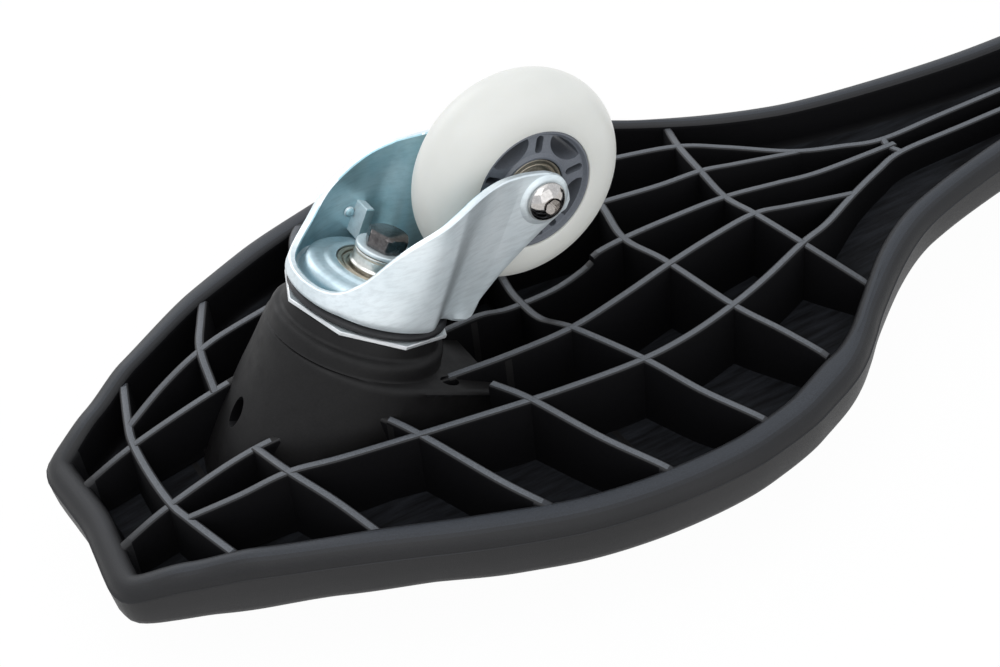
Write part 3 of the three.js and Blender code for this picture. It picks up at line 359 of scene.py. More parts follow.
def turned(angle, axis):
    return Matrix.Rotation(angle, 4, axis)


def caster_matrix(x):
    return Matrix.Translation((x, 0, CASTER_Z)) @ turned(TILT, "Y")


WHEEL_IN_CASTER = Matrix.Translation((TRAIL, 0, AXLE_W)) @ turned(QUARTER_TURN, "X")


# Materials
class Look:
    """A material's or the world's nodes, and the few kinds that are used here."""

    def __init__(self, owner):
        self.owner = owner
        owner.use_nodes = True
        self.nodes, self.links = owner.node_tree.nodes, owner.node_tree.links
        self.shader = self.nodes.get("Principled BSDF")

    def node(self, kind, **settings):
        made = self.nodes.new("ShaderNode" + kind)
        for key, value in settings.items():
            setattr(made, key, value)
        return made

    def put(self, socket, value):
        """Links another node's output to a socket, or sets a plain value on it."""
        if isinstance(value, bpy.types.NodeSocket):
            self.links.new(value, socket)
        else:
            socket.default_value = value

    def fill(self, node, values, output=0):
        for name, value in values.items():
            self.put(node.inputs[name], value)
        return node.outputs[output]

    def shade(self, values):
        self.fill(self.shader, values)
        return self.owner

    def coord(self, output="Object"):
        return self.node("TexCoord").outputs[output]

    def height(self, vector):
        return self.fill(self.node("SeparateXYZ"), {0: vector}, "Z")

    def calc(self, kind, operation, a, b, output=0):
        return self.fill(self.node(kind, operation=operation), {0: a, 1: b}, output)

    def noise(self, scale, detail=4, rough=0.5, coord=None):
        return self.fill(self.node("TexNoise"), {
            "Scale": scale, "Detail": detail, "Roughness": rough,
            "Vector": self.coord() if coord is None else coord}, "Fac")

    def stretched(self, scale, detail, rough):
        """Noise with its own scale along each axis."""
        wide = self.calc("VectorMath", "MULTIPLY", self.coord(), scale)
        return self.noise(1, detail, rough, wide)

    def ramp(self, source, *stops):
        """From one grey or colour to another between two values of the source."""
        made = self.node("ValToRGB")
        for element, (at, colour) in zip(made.color_ramp.elements, stops):
            element.position = at
            element.color = (*(colour if isinstance(colour, tuple) else (colour,) * 3), 1)
        return self.fill(made, {0: source})

    def mix(self, factor, a, b, blend="MIX"):
        made = self.node("Mix", data_type="RGBA", blend_type=blend)
        return self.fill(made, {"Factor": factor, "A": a, "B": b}, "Result")

    def multiply(self, a, b):
        return self.mix(1, a, b, "MULTIPLY")

    def bump(self, source, strength, distance):
        self.put(self.shader.inputs["Normal"], self.fill(self.node("Bump"), {
            "Strength": strength, "Distance": distance, "Height": source}))

    def mix_shader(self, factor, a, b):
        return self.fill(self.node("MixShader"), {0: factor, 1: a, 2: b})


def new_look(name):
    return Look(bpy.data.materials.new(name))


def simple(name, low, high, rough, metal=0.0, scale=900, bumps=(0.1, 0.00005), specular=0.5):
    """A fine mottle between two colours, with a roughness that varies more broadly."""
    look = new_look(name)
    mottle = look.noise(scale, 5, 0.6)
    if bumps:
        look.bump(mottle, *bumps)
    return look.shade({
        "Base Color": look.ramp(mottle, (0.3, low), (0.7, high)),
        "Roughness": look.ramp(look.noise(scale / 6, 3), (0.25, rough[0]), (0.75, rough[1])),
        "Metallic": metal, "Specular IOR Level": specular})


def deck_plastic(name, raised):
    """Grained black plastic, with a painted highlight in the raised colour on faces that look up
    and stand high: lip and rib tops.
    """
    look = new_look(name)
    fine, broad = look.noise(2600, 4, 0.6), look.noise(24, 3, 0.5)
    base = look.ramp(broad, (0.3, (0.006, 0.006, 0.0068)), (0.7, (0.0095, 0.0092, 0.0102)))
    normal = look.node("NewGeometry").outputs["True Normal"]
    # Painted highlight: faces that look up and stand high take the raised colour
    up = look.ramp(look.height(normal), (0.86, 0), (0.985, 1))
    high = look.fill(look.node("MapRange"), {
        "From Min": 0.0165, "From Max": 0.022, "Value": look.height(look.coord())})
    colour = look.mix(look.calc("Math", "MULTIPLY", up, high), base, (*raised, 1))
    look.bump(fine, 0.5, 0.00016)
    return look.shade({
        "Base Color": look.multiply(colour, look.ramp(fine, (0.34, 0.62), (0.66, 1.25))),
        "Roughness": look.ramp(fine, (0.3, 0.4), (0.7, 0.58)), "Specular IOR Level": 0.3})


def cell_plastic():
    """Painted shade in the cells: very dark walls, and floors with a painted sheen in greyer
    streaks along the board.
    """
    look = new_look("deck_cells_painted_shade")
    fine = look.noise(1400, 4, 0.6)
    # Painted sheen: greyer streaks on the cell floors
    floor_sheen = look.ramp(look.stretched((45, 420, 100), 5, 0.65),
                        (0.36, (0.0035, 0.0036, 0.0042)), (0.7, (0.0135, 0.0148, 0.0178)))
    # Painted shade: the cell walls very dark
    painted_wall_shade = look.ramp(fine, (0.3, (0.0014, 0.0014, 0.0017)), (0.7, (0.003, 0.0028, 0.0034)))
    # Floors that look up are lighter than the walls: painted light
    is_floor = look.ramp(look.height(look.coord("Normal")), (0.8, 0), (0.97, 1))
    look.bump(fine, 0.2, 0.0001)
    return look.shade({
        "Base Color": look.mix(is_floor, painted_wall_shade, floor_sheen),
        "Roughness": look.ramp(fine, (0.25, 0.6), (0.75, 0.75)), "Specular IOR Level": 0.08})


def zinc_plate(name, tint_low, tint_high, metal, painted_step_shade=1.0):
    """Plated sheet with cloudy and drawn marks. Faces towards the trail, which on the arms are the
    joggles, get a painted shade: darker by the step shade factor."""
    look = new_look(name)
    fine = look.noise(1500, 5, 0.65)
    clouds = look.ramp(look.noise(45, 4, 0.55), (0.32, tint_low), (0.68, tint_high))
    drawn = look.ramp(look.stretched((150, 520, 900), 4, 0.6), (0.34, 0.89), (0.56, 1.0))
    # Painted shade on faces towards the trail: the joggles' creases
    trail = (math.cos(TILT), 0, -math.sin(TILT))
    facing = look.calc("VectorMath", "DOT_PRODUCT", look.coord("Normal"), trail, "Value")
    steps = look.ramp(facing, (0.3, 1.0), (0.72, painted_step_shade))
    look.bump(fine, 0.16, 0.00007)
    return look.shade({
        "Base Color": look.multiply(look.multiply(clouds, drawn), steps),
        "Roughness": look.ramp(fine, (0.25, 0.32), (0.75, 0.48)), "Metallic": metal})


def tyre_plastic():
    """Cast polyurethane: slightly see-through at its skin, with a painted glow that lifts its
    shaded side.
    """
    look = new_look("tyre_polyurethane")
    clouds = look.noise(30, 4, 0.5)
    fine = look.noise(1100, 4, 0.6)
    look.bump(fine, 0.05, 0.00004)
    return look.shade({
        "Base Color": look.ramp(clouds, (0.3, (0.41, 0.412, 0.39)), (0.7, (0.46, 0.46, 0.438))),
        "Roughness": look.ramp(fine, (0.3, 0.3), (0.7, 0.42)),
        "Subsurface Weight": 0.25, "Subsurface Radius": (0.004, 0.0035, 0.0026),
        # Painted glow: the emission brightens the tyre where it is in shade
        "Subsurface Scale": 1.0, "Emission Color": (0.56, 0.565, 0.53, 1),
        "Emission Strength": 0.27})


MATERIALS = {
    # The second colours are painted highlights: faint on the lip tops, paler on the rib tops
    "deck": deck_plastic("deck_plastic", (0.021, 0.024, 0.03)),
    "deck_ribs": deck_plastic("deck_rib_tops_painted_highlight", (0.084, 0.09, 0.1)),
    # Painted shade in the cells, with a painted sheen on their floors
    "deck_cells": cell_plastic(),
    "deck_plinth": simple("deck_plinth_plastic", (0.0038, 0.0035, 0.0036),
                          (0.0066, 0.0061, 0.0062), (0.46, 0.6), scale=1200,
                          bumps=(0.3, 0.00012), specular=0.22),
    # 0.42: the painted shade on the joggles
    "zinc": zinc_plate("zinc_sheet", (0.6, 0.67, 0.697), (0.75, 0.805, 0.825), 0.52, 0.42),
    # Inner faces: darker as painted shade, and bluer from the plating's tint
    "zinc_inner": zinc_plate("zinc_inner_tint_and_shade", (0.23, 0.43, 0.5), (0.43, 0.6, 0.65), 0.75),
    "zinc_base": zinc_plate("zinc_fork_base", (0.42, 0.54, 0.59), (0.6, 0.7, 0.74), 0.95),
    "cut_edge": zinc_plate("zinc_cut_edge", (0.6, 0.62, 0.63), (0.78, 0.79, 0.8), 0.65),
    "seal": simple("seal_rubber", (0.004, 0.004, 0.005), (0.009, 0.009, 0.011), (0.45, 0.65),
                   bumps=(0.2, 0.0001)),
    "dark_bolt": simple("dark_bolt_steel", (0.06, 0.056, 0.056), (0.15, 0.14, 0.138),
                        (0.14, 0.3), 1.0),
    "chrome": simple("axle_chrome", (0.42, 0.4, 0.385), (0.55, 0.528, 0.508), (0.06, 0.13),
                     1.0, bumps=None),
    "race": simple("race_steel", (0.62, 0.61, 0.57), (0.78, 0.77, 0.73), (0.25, 0.4), 1.0),
    "shield": simple("bearing_shield", (0.3, 0.265, 0.21), (0.47, 0.42, 0.34), (0.3, 0.45), 1.0),
    "steel": simple("plain_steel", (0.42, 0.43, 0.44), (0.55, 0.56, 0.57), (0.28, 0.42), 1.0),
    "hub": simple("hub_plastic", (0.105, 0.114, 0.132), (0.135, 0.146, 0.166), (0.36, 0.48),
                  scale=1600, bumps=(0.12, 0.00006)),
    "tyre": tyre_plastic(),
}


def dress(obj, slot_name, body, nodes, more_slots=()):
    """Gives a piece its materials, its body and the solids that it stands for."""
    for name in (slot_name, *more_slots):
        obj.data.materials.append(MATERIALS[name])
    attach(obj, body)
    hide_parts(*nodes)
    return obj


# Deck
def lip_z(x):
    return along(LIP_HEIGHTS, -np.abs(x))


def face_z(x):
    return along(FACE_HEIGHTS, -np.abs(x))


def lip_width(x):
    return along(LIP_WIDTHS, -np.abs(x))


def deck_loops():
    """The outline and the lip's inner edge, all the way round, point for point."""
    ctrl = np.array(OUTLINE, float)
    ext = np.vstack([ctrl[1] * (1, -1), ctrl, ctrl[-2] * (-1, 1)])
    tangent = unit(ext[2:] - ext[:-2])
    inward = np.stack([tangent[:, 1], -tangent[:, 0]], 1)
    both = np.hstack([ctrl, ctrl + inward * lip_width(ctrl[:, 0])[:, None]])
    ext = np.vstack([both[1] * (1, -1, 1, -1), both, both[-2] * (-1, 1, -1, 1)])
    line = spline(ext, RIM_SPAN_STEPS)[RIM_SPAN_STEPS:-RIM_SPAN_STEPS]
    line = even(line, RIM_STEP)
    side = np.vstack([line, line[::-1][1:] * (-1, 1, -1, 1)])
    loop = np.vstack([side, side[::-1][1:-1] * (1, -1, 1, -1)])
    return loop[:, :2], loop[:, 2:]


def deck_pan():
    """The skin with its standing face, its rolled rim with a parting groove, and the cell floor."""
    outer, inner = deck_loops()
    x = outer[:, 0]
    width = np.linalg.norm(inner - outer, axis=1)
    face, lip = face_z(x), lip_z(x)
    floor = face + SKIN

    def up(share):
        return face + (lip - face) * share

    # (distance in from the outline, height)
    steps = [
        (9, face), (6, face + 0.03), (4.2, face + 0.25), (2.9, face + 0.7), (1.9, face + 1.5),
        (1.2, face + 2.7), (0.75, face + 4.2), (0.2, up(0.5)), (0, up(0.715)),
        (-0.25, up(0.722)), (-0.25, up(0.736)), (0.1, up(0.745)), (0.45, lip - 4),
        (1, lip - 2.9), (1.7, lip - 2), (2.7, lip - 1.15), (4, lip - 0.5), (5.4, lip - 0.12),
        (width - 3.6, lip), (width - 2.4, lip - 0.2), (width - 1.3, lip - 0.75),
        (width - 0.5, lip - 1.6), (width, lip - 2.8), (width + 0.5, floor + 3),
        (width + 1.0, floor + 1.0), (width + 1.8, floor + 0.25), (width + 3, floor)]
    rings = []
    for inset, z in steps:
        share = (np.zeros_like(x) + inset) / width
        rings.append(level(outer + (inner - outer) * share[:, None], z))
    faces = grid(rings)
    n = len(x)
    half = n // 2
    for base in (0, (len(rings) - 1) * n):
        for tip in (0, half):
            faces.append([base + (tip + k) % n for k in range(-TIP_POINTS, TIP_POINTS + 1)])
        for i in range(TIP_POINTS, half - TIP_POINTS):
            faces.append((base + i, base + i + 1, base + n - i - 1, base + n - i))
    return np.vstack(rings), faces


def rib(points):
    line = even(spline(points, RIB_SPAN_STEPS), RIB_STEP)
    tangent = unit(np.gradient(line[:, :2], axis=0))
    side = np.stack([-tangent[:, 1], tangent[:, 0]], 1)
    foot = face_z(line[:, 0]) + RIB_FOOT
    section = [(-off, *rest) for off, *rest in RIB_HALF] + RIB_HALF[::-1]
    rings = []
    for (x, y, top), (side_x, side_y), low in zip(line, side, foot):
        rings.append([(x + side_x * off, y + side_y * off, (low if from_foot else top) + dz)
                      for off, dz, from_foot in section])
    return capped(rings)


def into_lip(points):
    """The rib led further, into the lip and under its top."""
    a, b = np.array(points[-2][:2], float), np.array(points[-1][:2], float)
    c = b + (b - a) / np.linalg.norm(b - a) * LIP_REACH
    return list(points) + [(c[0], c[1], float(lip_z(c[0])) - LIP_COVER)]


def mirror_y(points):
    return [(x, -y, z) for x, y, z in points]


def across(points):
    """The rib and its mirror image as one, from side to side."""
    return mirror_y(points)[::-1] + list(points)[1 if points[0][1] == 0 else 0:]


def web():
    parts = []
    for tail in (False, True):
        arcs = [across(into_lip(a)) for a in (ARC_1, ARC_5, ARC_6, ARC_7)]
        sides = [RIB_INNER, RIB_OUTER, into_lip(ARC_2)]
        sides.append(into_lip(([TAIL_START_3] if tail else []) + ARC_3))
        sides.append(into_lip(([TAIL_START_4] if tail else []) + ARC_4))
        lines = [RIB_CENTRE, SPINE_END] + arcs + sides + [mirror_y(s) for s in sides]
        if tail:
            lines.append(TAIL_BRIDGE)
        for line in lines:
            parts.append(rib([(-x, y, z) for x, y, z in line] if tail else line))
    return join(parts)


def plinth(x):
    """A round collar on a body that is round at the nose and runs straight back to the waist."""
    n = PLINTH_POINTS
    angles = np.linspace(0, 2 * math.pi, n, endpoint=False)
    cos, sin = np.cos(angles), np.sin(angles)
    rings = [level(np.column_stack([r * cos, r * sin]), w) for r, w in COLLAR]
    ahead = cos > 0
    for side, w in BODY:
        end = BODY_END - BODY_END_SLOPE * (w - BODY[0][1])
        flat = side / np.maximum(np.abs(sin), 1e-6)
        reach = np.full(n, side)
        reach[ahead] = np.minimum(flat, end / np.maximum(cos, 1e-6))[ahead]
        rings.append(level(np.column_stack([BODY_MIDDLE + reach * cos, reach * sin]), w))
    rings.append(level(np.zeros((n, 2)), BODY[-1][1]))
    verts = moved(np.vstack(rings), caster_matrix(x))
    verts[:, 2] = np.maximum(verts[:, 2], face_z(verts[:, 0]) + PLINTH_FOOT)
    return verts, grid(rings)


def plinth_cutters(x):
    """Two oval holes in the plinth and the pocket under the pivot nut."""
    rod = lathe([(0, -9), (1, -9), (1, 9), (0, 9)], 32)
    side = Matrix.Translation(SIDE_HOLE) @ Matrix.Diagonal((*SIDE_HOLE_SIZE, 1))
    side = side @ turned(QUARTER_TURN, "Y")
    top = Matrix.Translation(SHOULDER_HOLE) @ Matrix.Diagonal((*SHOULDER_HOLE_SIZE, 1))
    cutters = ((rod, side), (rod, top), (lathe(NUT_POCKET, 64), Matrix.Identity(4)))
    return [(moved(v, caster_matrix(x) @ m), f) for (v, f), m in cutters]


# Which plastic a face of the deck has, in millimetres and shares of a face's upward normal
COLLAR_REACH, LEDGE_FOOT, BODY_REACH, SKIN_NEAR = 32, -14.5, 80, 0.8
LIP_MARGIN, RIB_TOP_RISE = 0.7, 9
LOOKS_DOWN, LOOKS_UP = -0.3, 0.6


def on_plinth(p):
    """Whether a point in a caster's own frame lies on the skin of the plinth."""
    if p.z > COLLAR[-1][1] + 0.1:
        return p.xy.length < COLLAR_REACH
    side = np.interp(-p.z, [-w for _, w in BODY], [r for r, _ in BODY])
    off = Vector((min(p.x - BODY_MIDDLE, 0), p.y)).length - side
    on_ledge = p.z > LEDGE_FOOT and off < SKIN_NEAR
    return p.x < BODY_REACH and (abs(off) < SKIN_NEAR or on_ledge)


def deck_slots(obj):
    """Plastic of the rim, of the cells with painted shade, of the plinths and of the rib tops with
    a painted highlight.
    """
    names = ("deck", "deck_cells", "deck_plinth", "deck_ribs")
    for name in names:
        obj.data.materials.append(MATERIALS[name])
    inner = deck_loops()[1]
    quarter = inner[(inner[:, 0] <= 0) & (inner[:, 1] >= 0)]
    quarter = quarter[np.argsort(quarter[:, 0])]
    into_caster = [caster_matrix(x).inverted() for x in CASTERS.values()]
    for poly in obj.data.polygons:
        c = Vector(poly.center) / MM
        limit = np.interp(-abs(c.x), quarter[:, 0], quarter[:, 1], left=0) + LIP_MARGIN
        if abs(c.y) > limit or poly.normal.z < LOOKS_DOWN:
            continue
        if any(on_plinth(m @ c) for m in into_caster):
            slot = "deck_plinth"
        # Faces that look up and stand high get the rib tops' painted highlight; the other cell
        # faces get painted shade
        elif poly.normal.z > LOOKS_UP and c.z > float(face_z(c.x)) + RIB_TOP_RISE:
            slot = "deck_ribs"
        else:
            slot = "deck_cells"
        poly.material_index = names.index(slot)


solids = [deck_pan(), plinth(CASTERS["front"]), plinth(CASTERS["rear"])]
holes = plinth_cutters(CASTERS["front"]) + plinth_cutters(CASTERS["rear"])
deck = make("deck", *join(cut_away(solids, holes) + [web()]))
deck_slots(deck)
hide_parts("front_deck", "rear_deck")
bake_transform(deck)


# Casters
def fork_sections():
    """Stations round the wall: foot place, top place, foot and top heights; outward sides."""
    pts = np.array([(u, -foot_v, u, -top_v, foot, top)
                    for u, foot_v, top_v, foot, top in FORK_WALL], float)
    full = np.vstack([pts[1:][::-1] * (1, -1, 1, -1, 1, 1), pts])
    line = even(spline(full, FORK_SPAN_STEPS), FORK_STEP)
    outward = []
    for cols in ((0, 1), (2, 3)):
        tangent = unit(np.gradient(line[:, cols], axis=0))
        side = np.stack([tangent[:, 1], -tangent[:, 0]], 1)
        middle = len(line) // 2
        outward.append(side if side[middle] @ line[middle, cols] > 0 else -side)
    return line, outward[0], outward[1]


def fork_section(uf, foot, top):
    """One station's closed section: (distance outward, height)."""
    tall = max(top - foot, 0.6)
    r = min(FOOT_BEND, tall * 0.35)
    e = min(EDGE_BEVEL, tall * 0.2)
    t = HALF_SHEET
    leg = LEG * float(np.clip((LEG_END - uf) / LEG_FADE, 0, 1))
    has_leg = leg > 0.3
    flare = FLARE * float(np.clip(1 - abs(uf - FLARE_MIDDLE) / FLARE_HALF, 0, 1)) ** 0.5
    low, high = foot + r + min(3, tall * 0.2), top - e
    levels = [low + (high - low) * q for q in np.linspace(0, 1, 7)[1:-1]]
    sec = [(-t - leg, foot), (-t, foot)] if has_leg else [(-t, foot + 0.3), (-t + 0.3, foot)]
    sec += [(t - r + flare, foot), (t - r * 0.45 + flare, foot + r * 0.12),
            (t - r * 0.1 + flare * 0.8, foot + r * 0.5), (t + flare * 0.4, foot + r), (t, low)]
    sec += [(t, w) for w in levels]
    sec += [(t, high), (t - e, top), (-t + e, top), (-t, high)]
    sec += [(-t, w) for w in levels[::-1]]
    if has_leg:
        sec += [(-t, foot + 5.2), (-t - 0.5, foot + 3.6), (-t - 1.6, foot + 2.7),
                (-t - leg, foot + 2.5)]
    else:
        sec += [(-t, foot + min(most, tall * share))
                for most, share in ((5.2, 0.25), (3.6, 0.18), (2.7, 0.12), (1.2, 0.08))]
    return sec, tall


def fork_shell():
    """The wall: apron, joggles and arms, leaning from its foot line to its top line."""
    line, out_foot, out_top = fork_sections()
    rings = []
    for k, (uf, vf, ut, vt, foot, top) in enumerate(line):
        sec, tall = fork_section(uf, foot, top)
        ring = []
        for o, w in sec:
            q = min(max((w - foot) / tall, 0), 1) ** 1.25
            fx, fy = uf + out_foot[k, 0] * o, vf + out_foot[k, 1] * o
            tx, ty = ut + out_top[k, 0] * o, vt + out_top[k, 1] * o
            ring.append((fx + (tx - fx) * q, fy + (ty - fy) * q, w))
        rings.append(ring)
    return capped(rings)


def fork_base():
    """The floor of the fork inside its wall, raised to the bearing cup."""
    line, out, _ = fork_sections()
    inside = line[:, 0] < BASE_WALL_END
    edge = line[inside, :2] - out[inside]
    ang = np.unwrap(np.arctan2(edge[:, 1], -edge[:, 0]))
    rad = np.linalg.norm(edge, axis=1)
    order = np.argsort(ang)
    ang, rad = ang[order], rad[order]
    border = []
    for a in np.linspace(-math.pi, math.pi, BASE_POINTS, endpoint=False):
        if ang[0] <= a <= ang[-1]:
            r = np.interp(a, ang, rad)
        else:
            r = BASE_END / abs(math.cos(a))
        border.append((-r * math.cos(a), r * math.sin(a)))
    border = np.array(border)
    rings = [level(border * share, w) for share, w in BASE_EDGE]
    for r, w in CUP:
        reach = np.minimum(r, np.linalg.norm(border, axis=1) - 0.2)[:, None]
        rings.append(level(unit(border) * reach, w))
    return np.vstack(rings), grid(rings, closed_along=True)


def arm_bosses():
    bosses = [lathe(flipped(BOSS, side), 64) for side in (1, -1)]
    return join([(moved(v, WHEEL_IN_CASTER), f) for v, f in bosses])


def rounded_box(size, place, r=0.35):
    x, y, z = [s / 2 for s in size]
    rings = []
    for zz, inset in ((-z, r), (-z + r, 0), (z - r, 0), (z, r)):
        bx, by = x - inset, y - inset
        base = [(-bx, -by), (bx, -by), (bx, by), (-bx, by)]
        rings.append([(px, py, zz) for px, py in rounded(base, max(r - inset, 0.05) + 0.05, 2)])
    verts, faces = capped(rings)
    return moved(verts, Matrix.Translation(place)), faces


def hex_head(flats, foot, top, chamfer):
    """A hexagon with a turned crown; corners stand a little in."""
    half = flats / 2
    rings = []
    for w, limit in ((foot, half + 1.6), (top - chamfer * 1.25, half + 1.6),
                     (top - chamfer * 0.8, half + 0.9), (top - chamfer * 0.35, half + 0.1),
                     (top - 0.05, half - 0.7), (top, half - 1.0)):
        ring = []
        for i in range(HEX_POINTS):
            a = 2 * math.pi * i / HEX_POINTS
            k = (a + math.pi / 6) % (math.pi / 3) - math.pi / 6
            corner = HEX_CORNER if abs(abs(k) - math.pi / 6) < 0.01 else 0
            ring.append((*polar(min(half / math.cos(k) - corner, limit), a), w))
        rings.append(ring)
    return capped(rings)


def hex_at(matrix, *sizes):
    verts, faces = hex_head(*sizes)
    return moved(verts, matrix), faces


def window_outline():
    """A lens between two spokes: the rim's own curve outside, an oval arc inside."""
    outer = [polar(WINDOW_RIM, a) for a in np.linspace(-WINDOW_REACH, WINDOW_REACH, 9)]
    inner = [(WINDOW_MIDDLE - WINDOW_DEPTH * math.sin(a), WINDOW_HALF * math.cos(a))
             for a in np.linspace(0.02, math.pi - 0.02, 17)]
    return rounded(outer + inner[1:-1], 0.25, 2)


def slot_outline():
    """A slot along a spoke with round ends."""
    points = []
    for middle, start in zip(SLOT_ENDS, (-QUARTER_TURN, QUARTER_TURN)):
        for a in np.linspace(start, start + HALF_TURN, 9):
            px, py = polar(SLOT_HALF, a)
            points.append((middle + px, py))
    return points


def hub_cutters():
    cutters = []
    for i in range(SPOKES):
        for outline, extra in ((window_outline(), math.pi / SPOKES), (slot_outline(), 0)):
            cos, sin = polar(1, SPOKE_TURN + 2 * math.pi * i / SPOKES + extra)
            ring = [(px * cos - py * sin, px * sin + py * cos) for px, py in outline]
            cutters.append(capped([[(*p, w) for p in ring] for w in (-CUTTER_HALF, CUTTER_HALF)]))
    return cutters


class Caster:
    """One caster's frames and bodies, and its pieces in turn."""

    def __init__(self, prefix, x):
        self.prefix = prefix
        self.place = caster_matrix(x)
        self.axle = self.place @ WHEEL_IN_CASTER
        self.root, self.swivel, self.wheel = [prefix + s for s in ("_deck", "_caster", "_wheel")]

    def piece(self, name, geometry, matrix, slot_name, body, node, sharp=SHARP, more_slots=()):
        verts, faces = geometry
        obj = make(self.prefix + "_" + name, moved(verts, matrix), faces, sharp)
        return dress(obj, slot_name, body, [self.prefix + "_" + node], more_slots)

    def add_plate(self):
        steps = [2 * math.pi * i / PLATE_SIDES for i in range(PLATE_SIDES)]
        rings = [[(*polar(r, a), w) for a in steps] for r, w in PLATE_RINGS]
        octagon = [p for ring in rings for p in ring], grid(rings, closed_along=True)
        collar = lathe(box_profile(BORE, -1, 7.8, 3.9, 0.2), 48)
        plate = self.piece("plate", join([octagon, collar]), self.place, "zinc", self.root,
                           "base_plate", more_slots=["cut_edge"])
        inverse = self.place.inverted()
        for poly in plate.data.polygons:
            c = inverse @ (Vector(poly.center) / MM)
            is_cut_edge = -1.35 < c.z < -0.1 and c.xy.length > 22
            if is_cut_edge:
                poly.material_index = 1

    def add_pivot(self):
        def add(name, geometry, slot_name, node, body=self.root):
            self.piece(name, geometry, self.place, slot_name, body, node)

        add("seal", lathe(rounded(SEAL, 0.35), 96), "seal", "dust_seal")
        add("pivot_nut_hex", hex_head(HEX_FLATS, -21.1, -14.3, 0.8), "steel", "pivot_nut")
        head = hex_at(turned(PIVOT_HEAD_TURN, "Z"), HEX_FLATS, 21.1, 26.4, 1.0)
        bolt = join([head, lathe(PIVOT_SHANK, 40), lathe(PIVOT_CAP, 60)])
        add("pivot_bolt_head", bolt, "dark_bolt", "pivot_bolt")
        add("washer", lathe(rounded(WASHER, 0.3), 80), "zinc", "pivot_washer")
        add("spacer", lathe(rounded(SPACER, 0.3), 80), "race", "pivot_spacer")
        add("pivot_race_inner", lathe(box_profile(BORE, 4.2, 8.3, 13.2, 0.3), 72), "race",
            "pivot_inner_race")
        add("pivot_race_outer", lathe(PIVOT_OUTER_RACE, 96), "shield", "pivot_outer_race",
            self.swivel)

    def add_fork(self):
        dimple, dimple_faces = lathe(DIMPLE, 32)
        dimple_place = Matrix.Translation(DIMPLE_PLACE) @ turned(-QUARTER_TURN, "X")
        pressing = join([fork_shell(), fork_base(), arm_bosses(),
                         rounded_box(TAB_SIZE, TAB_PLACE),
                         (moved(dimple, dimple_place), dimple_faces)])
        fork = self.piece("fork_pressing", pressing, self.place, "zinc", self.swivel, "fork",
                          FINE_SHARP, ["zinc_inner", "zinc_base"])
        inverse = self.place.inverted()
        for poly in fork.data.polygons:
            c = inverse @ (Vector(poly.center) / MM)
            normal = inverse.to_3x3() @ poly.normal
            radius = c.xy.length
            if c.x > 14:  # the two arms
                inward = -(c.y * normal.y) / abs(c.y)
            else:
                inward = -(c.xy @ normal.xy) / max(radius, 1)
            on_wall = radius > 15.5 and c.z > 7 and abs(c.y) < 27
            on_base = radius < 25.6 and 3 < c.z < 14
            # Inward faces of the wall get the inner zinc: painted shade with a blue tint
            if inward > 0.5 and on_wall:
                poly.material_index = 1
            elif on_base:
                poly.material_index = 2

    def add_axle(self):
        def add(name, geometry, slot_name, node, body=self.swivel):
            self.piece(name, geometry, self.axle, slot_name, body, node)

        head = [(0, SEAT), (7, SEAT), (HEAD_RADIUS, SEAT + 0.5)]
        for k in range(1, HEAD_STEPS):
            share = k / HEAD_STEPS
            cos, sin = polar(1, QUARTER_TURN * share)
            radius = HEAD_RADIUS * (0.62 * cos + 0.38 * (1 - share)) + 0.3 * share
            head.append((radius, SEAT + 0.5 + HEAD_RISE * sin))
        head += [(3.3, SEAT + 4.42), (3.05, SEAT + 4.3), (0, SEAT + 4.3)]
        socket = hex_at(turned(SOCKET_TURN, "Z"), SOCKET_FLATS, SEAT + 1.6, SEAT + 8, 0.1)
        dome = cut_away([lathe(head, 72)], [socket])[0]
        add("axle_bolt_head", join([dome, lathe(AXLE_SHANK, 40)]), "chrome", "axle_bolt")
        flip = Matrix.Translation((0, 0, -SEAT)) @ turned(HALF_TURN, "X")
        nut = join([hex_at(flip, HEX_FLATS, 0, 5.4, 0.6), lathe(rounded(NUT_COLLAR, 0.2), 48)])
        add("axle_nut_hex", nut, "steel", "axle_nut")
        for name, side in (("near", 1), ("far", -1)):
            sleeve = flipped(box_profile(BORE, 11.8, 6.2, 15.75, 0.25), side)
            race = flipped(box_profile(BORE, 4.5, 6, 11.5, 0.25), side)
            add("sleeve_" + name, lathe(sleeve, 48), "steel", "axle_sleeve_" + name)
            add("race_" + name, lathe(race, 48), "race", "bearing_inner_" + name)
            add("bearing_" + name, lathe(flipped(BEARING, side), 72), "shield",
                "bearing_outer_" + name, self.wheel)
        tube = lathe(box_profile(BORE, -4.2, 6, 4.2, 0.2), 40)
        add("spacer_tube", tube, "steel", "bearing_spacer")

    def add_wheel(self):
        tread = []
        for k in range(TYRE_STEPS + 1):
            cos, sin = polar(1, HALF_TURN * k / TYRE_STEPS - QUARTER_TURN)
            tread.append((TYRE_MIDDLE + TYRE_BULGE * cos, TYRE_HALF * sin))
        tyre = lathe(flipped(TYRE_SEAT[::-1], -1) + tread + TYRE_SEAT, 160)
        self.piece("tyre_ring", tyre, self.axle, "tyre", self.wheel, "tyre")
        hub = cut_away([lathe(HUB_HALF + flipped(HUB_HALF[::-1], -1), 192)], hub_cutters())[0]
        obj = self.piece("hub_core", hub, self.axle, "hub", self.wheel, "hub", FINE_SHARP)
        edge = obj.modifiers.new("edge", "BEVEL")
        edge.width, edge.segments = HUB_BEVEL * MM, 2
        edge.limit_method, edge.angle_limit = "ANGLE", math.radians(50)


for key, at in CASTERS.items():
    caster = Caster(key, at)
    caster.add_plate()
    caster.add_pivot()
    caster.add_fork()
    caster.add_axle()
    caster.add_wheel()

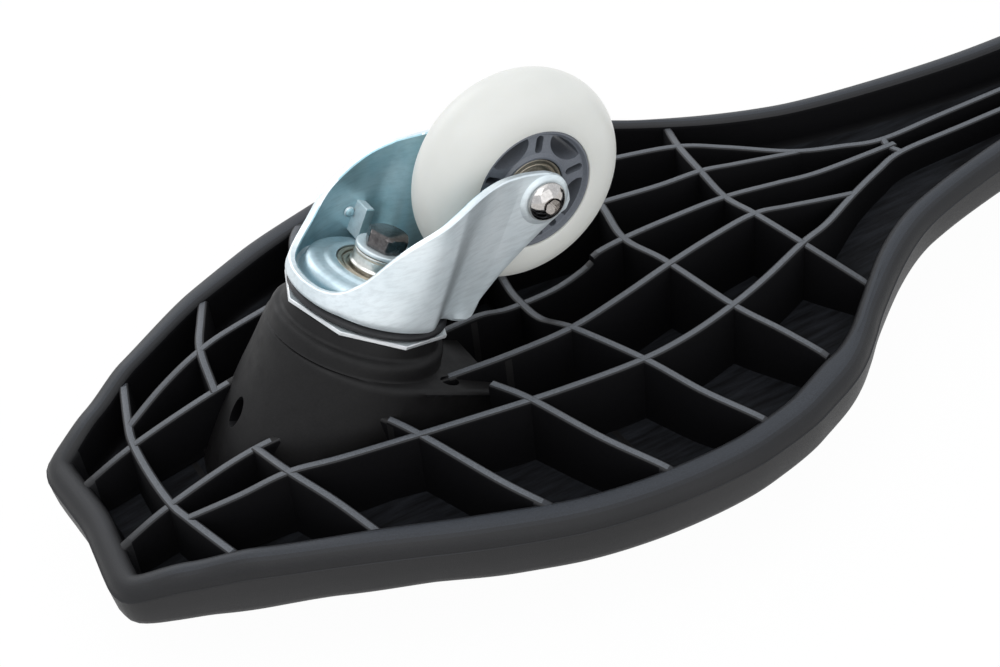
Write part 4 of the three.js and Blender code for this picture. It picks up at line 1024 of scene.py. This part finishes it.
# Camera, in metres, with the photograph's place and turn
CAMERA_PLACE = Vector((-0.483057, -0.429871, 0.418064))
CAMERA_AXES = Matrix(((0.85914953, -0.50445758, -0.08593389),
                      (0.38196277, 0.52042882, 0.76371348),
                      (-0.34053858, -0.68896763, 0.63981019)))
camera = bpy.data.objects.new("camera", bpy.data.cameras.new("camera"))
bpy.context.scene.collection.objects.link(camera)
camera.matrix_world = Matrix.Translation(CAMERA_PLACE) @ CAMERA_AXES.transposed().to_4x4()
camera.data.sensor_width = 36
camera.data.lens = 62.86
camera.data.clip_start, camera.data.clip_end = 0.01, 50
bpy.context.scene.camera = camera

# Floor: white to the camera and in reflections, pale paper to the lights
FLOOR_Z = -0.023  # clear of the rim when the deck is twisted
FLOOR_HALF = 8
FLOOR_CORNERS = ((-1, -1), (1, -1), (1, 1), (-1, 1))
floor_data = bpy.data.meshes.new("floor")
floor_data.from_pydata([(x * FLOOR_HALF, y * FLOOR_HALF, FLOOR_Z) for x, y in FLOOR_CORNERS],
                       [], [(0, 1, 2, 3)])
floor = bpy.data.objects.new("floor", floor_data)
bpy.context.scene.collection.objects.link(floor)
paper = new_look("floor_paper")
floor_data.materials.append(paper.shade({
    "Base Color": (0.8, 0.8, 0.8, 1), "Roughness": 0.9, "Specular IOR Level": 0.1}))
rays = paper.node("LightPath").outputs
both_rays = paper.calc("Math", "ADD", rays["Is Camera Ray"], rays["Is Glossy Ray"])
share = paper.calc("Math", "MULTIPLY", both_rays, 0.97)
glow = paper.fill(paper.node("Emission"), {"Strength": 1.0})
paper.put(paper.nodes["Material Output"].inputs["Surface"],
          paper.mix_shader(share, paper.shader.outputs[0], glow))

# Lights, in metres and watts: name, place, what it points at, size, power
LIGHTS = (("key", (-0.9, -0.5, 1.6), (-0.3, 0, 0), 1.4, 7),
          ("top", (-0.1, 0.4, 1.9), (-0.2, 0, 0), 2.0, 6.5),
          ("fill", (-0.1, -1.8, 0.9), (-0.25, 0, 0.05), 2.0, 9),
          ("back", (-0.6, 1.6, 1.0), (-0.2, 0, 0.05), 1.2, 8))
for name, place, aim, size, power in LIGHTS:
    light = bpy.data.lights.new(name, "AREA")
    light.energy, light.size = power, size
    lamp = bpy.data.objects.new(name, light)
    bpy.context.scene.collection.objects.link(lamp)
    lamp.location = place
    lamp.rotation_mode = "QUATERNION"
    lamp.rotation_quaternion = (Vector(aim) - Vector(place)).to_track_quat("-Z", "Y")

# World: white to the camera, a soft cool light to the object
world = bpy.data.worlds.new("studio")
bpy.context.scene.world = world
sky = Look(world)
sky.nodes.clear()
seen = sky.fill(sky.node("Background"), {"Color": (1, 1, 1, 1), "Strength": 1.0})
soft = sky.fill(sky.node("Background"), {"Color": (0.93, 0.96, 1, 1), "Strength": 1.08})
to_camera = sky.node("LightPath").outputs["Is Camera Ray"]
sky.put(sky.node("OutputWorld").inputs[0], sky.mix_shader(to_camera, soft, seen))

scene = bpy.context.scene
scene.view_settings.view_transform = "Standard"
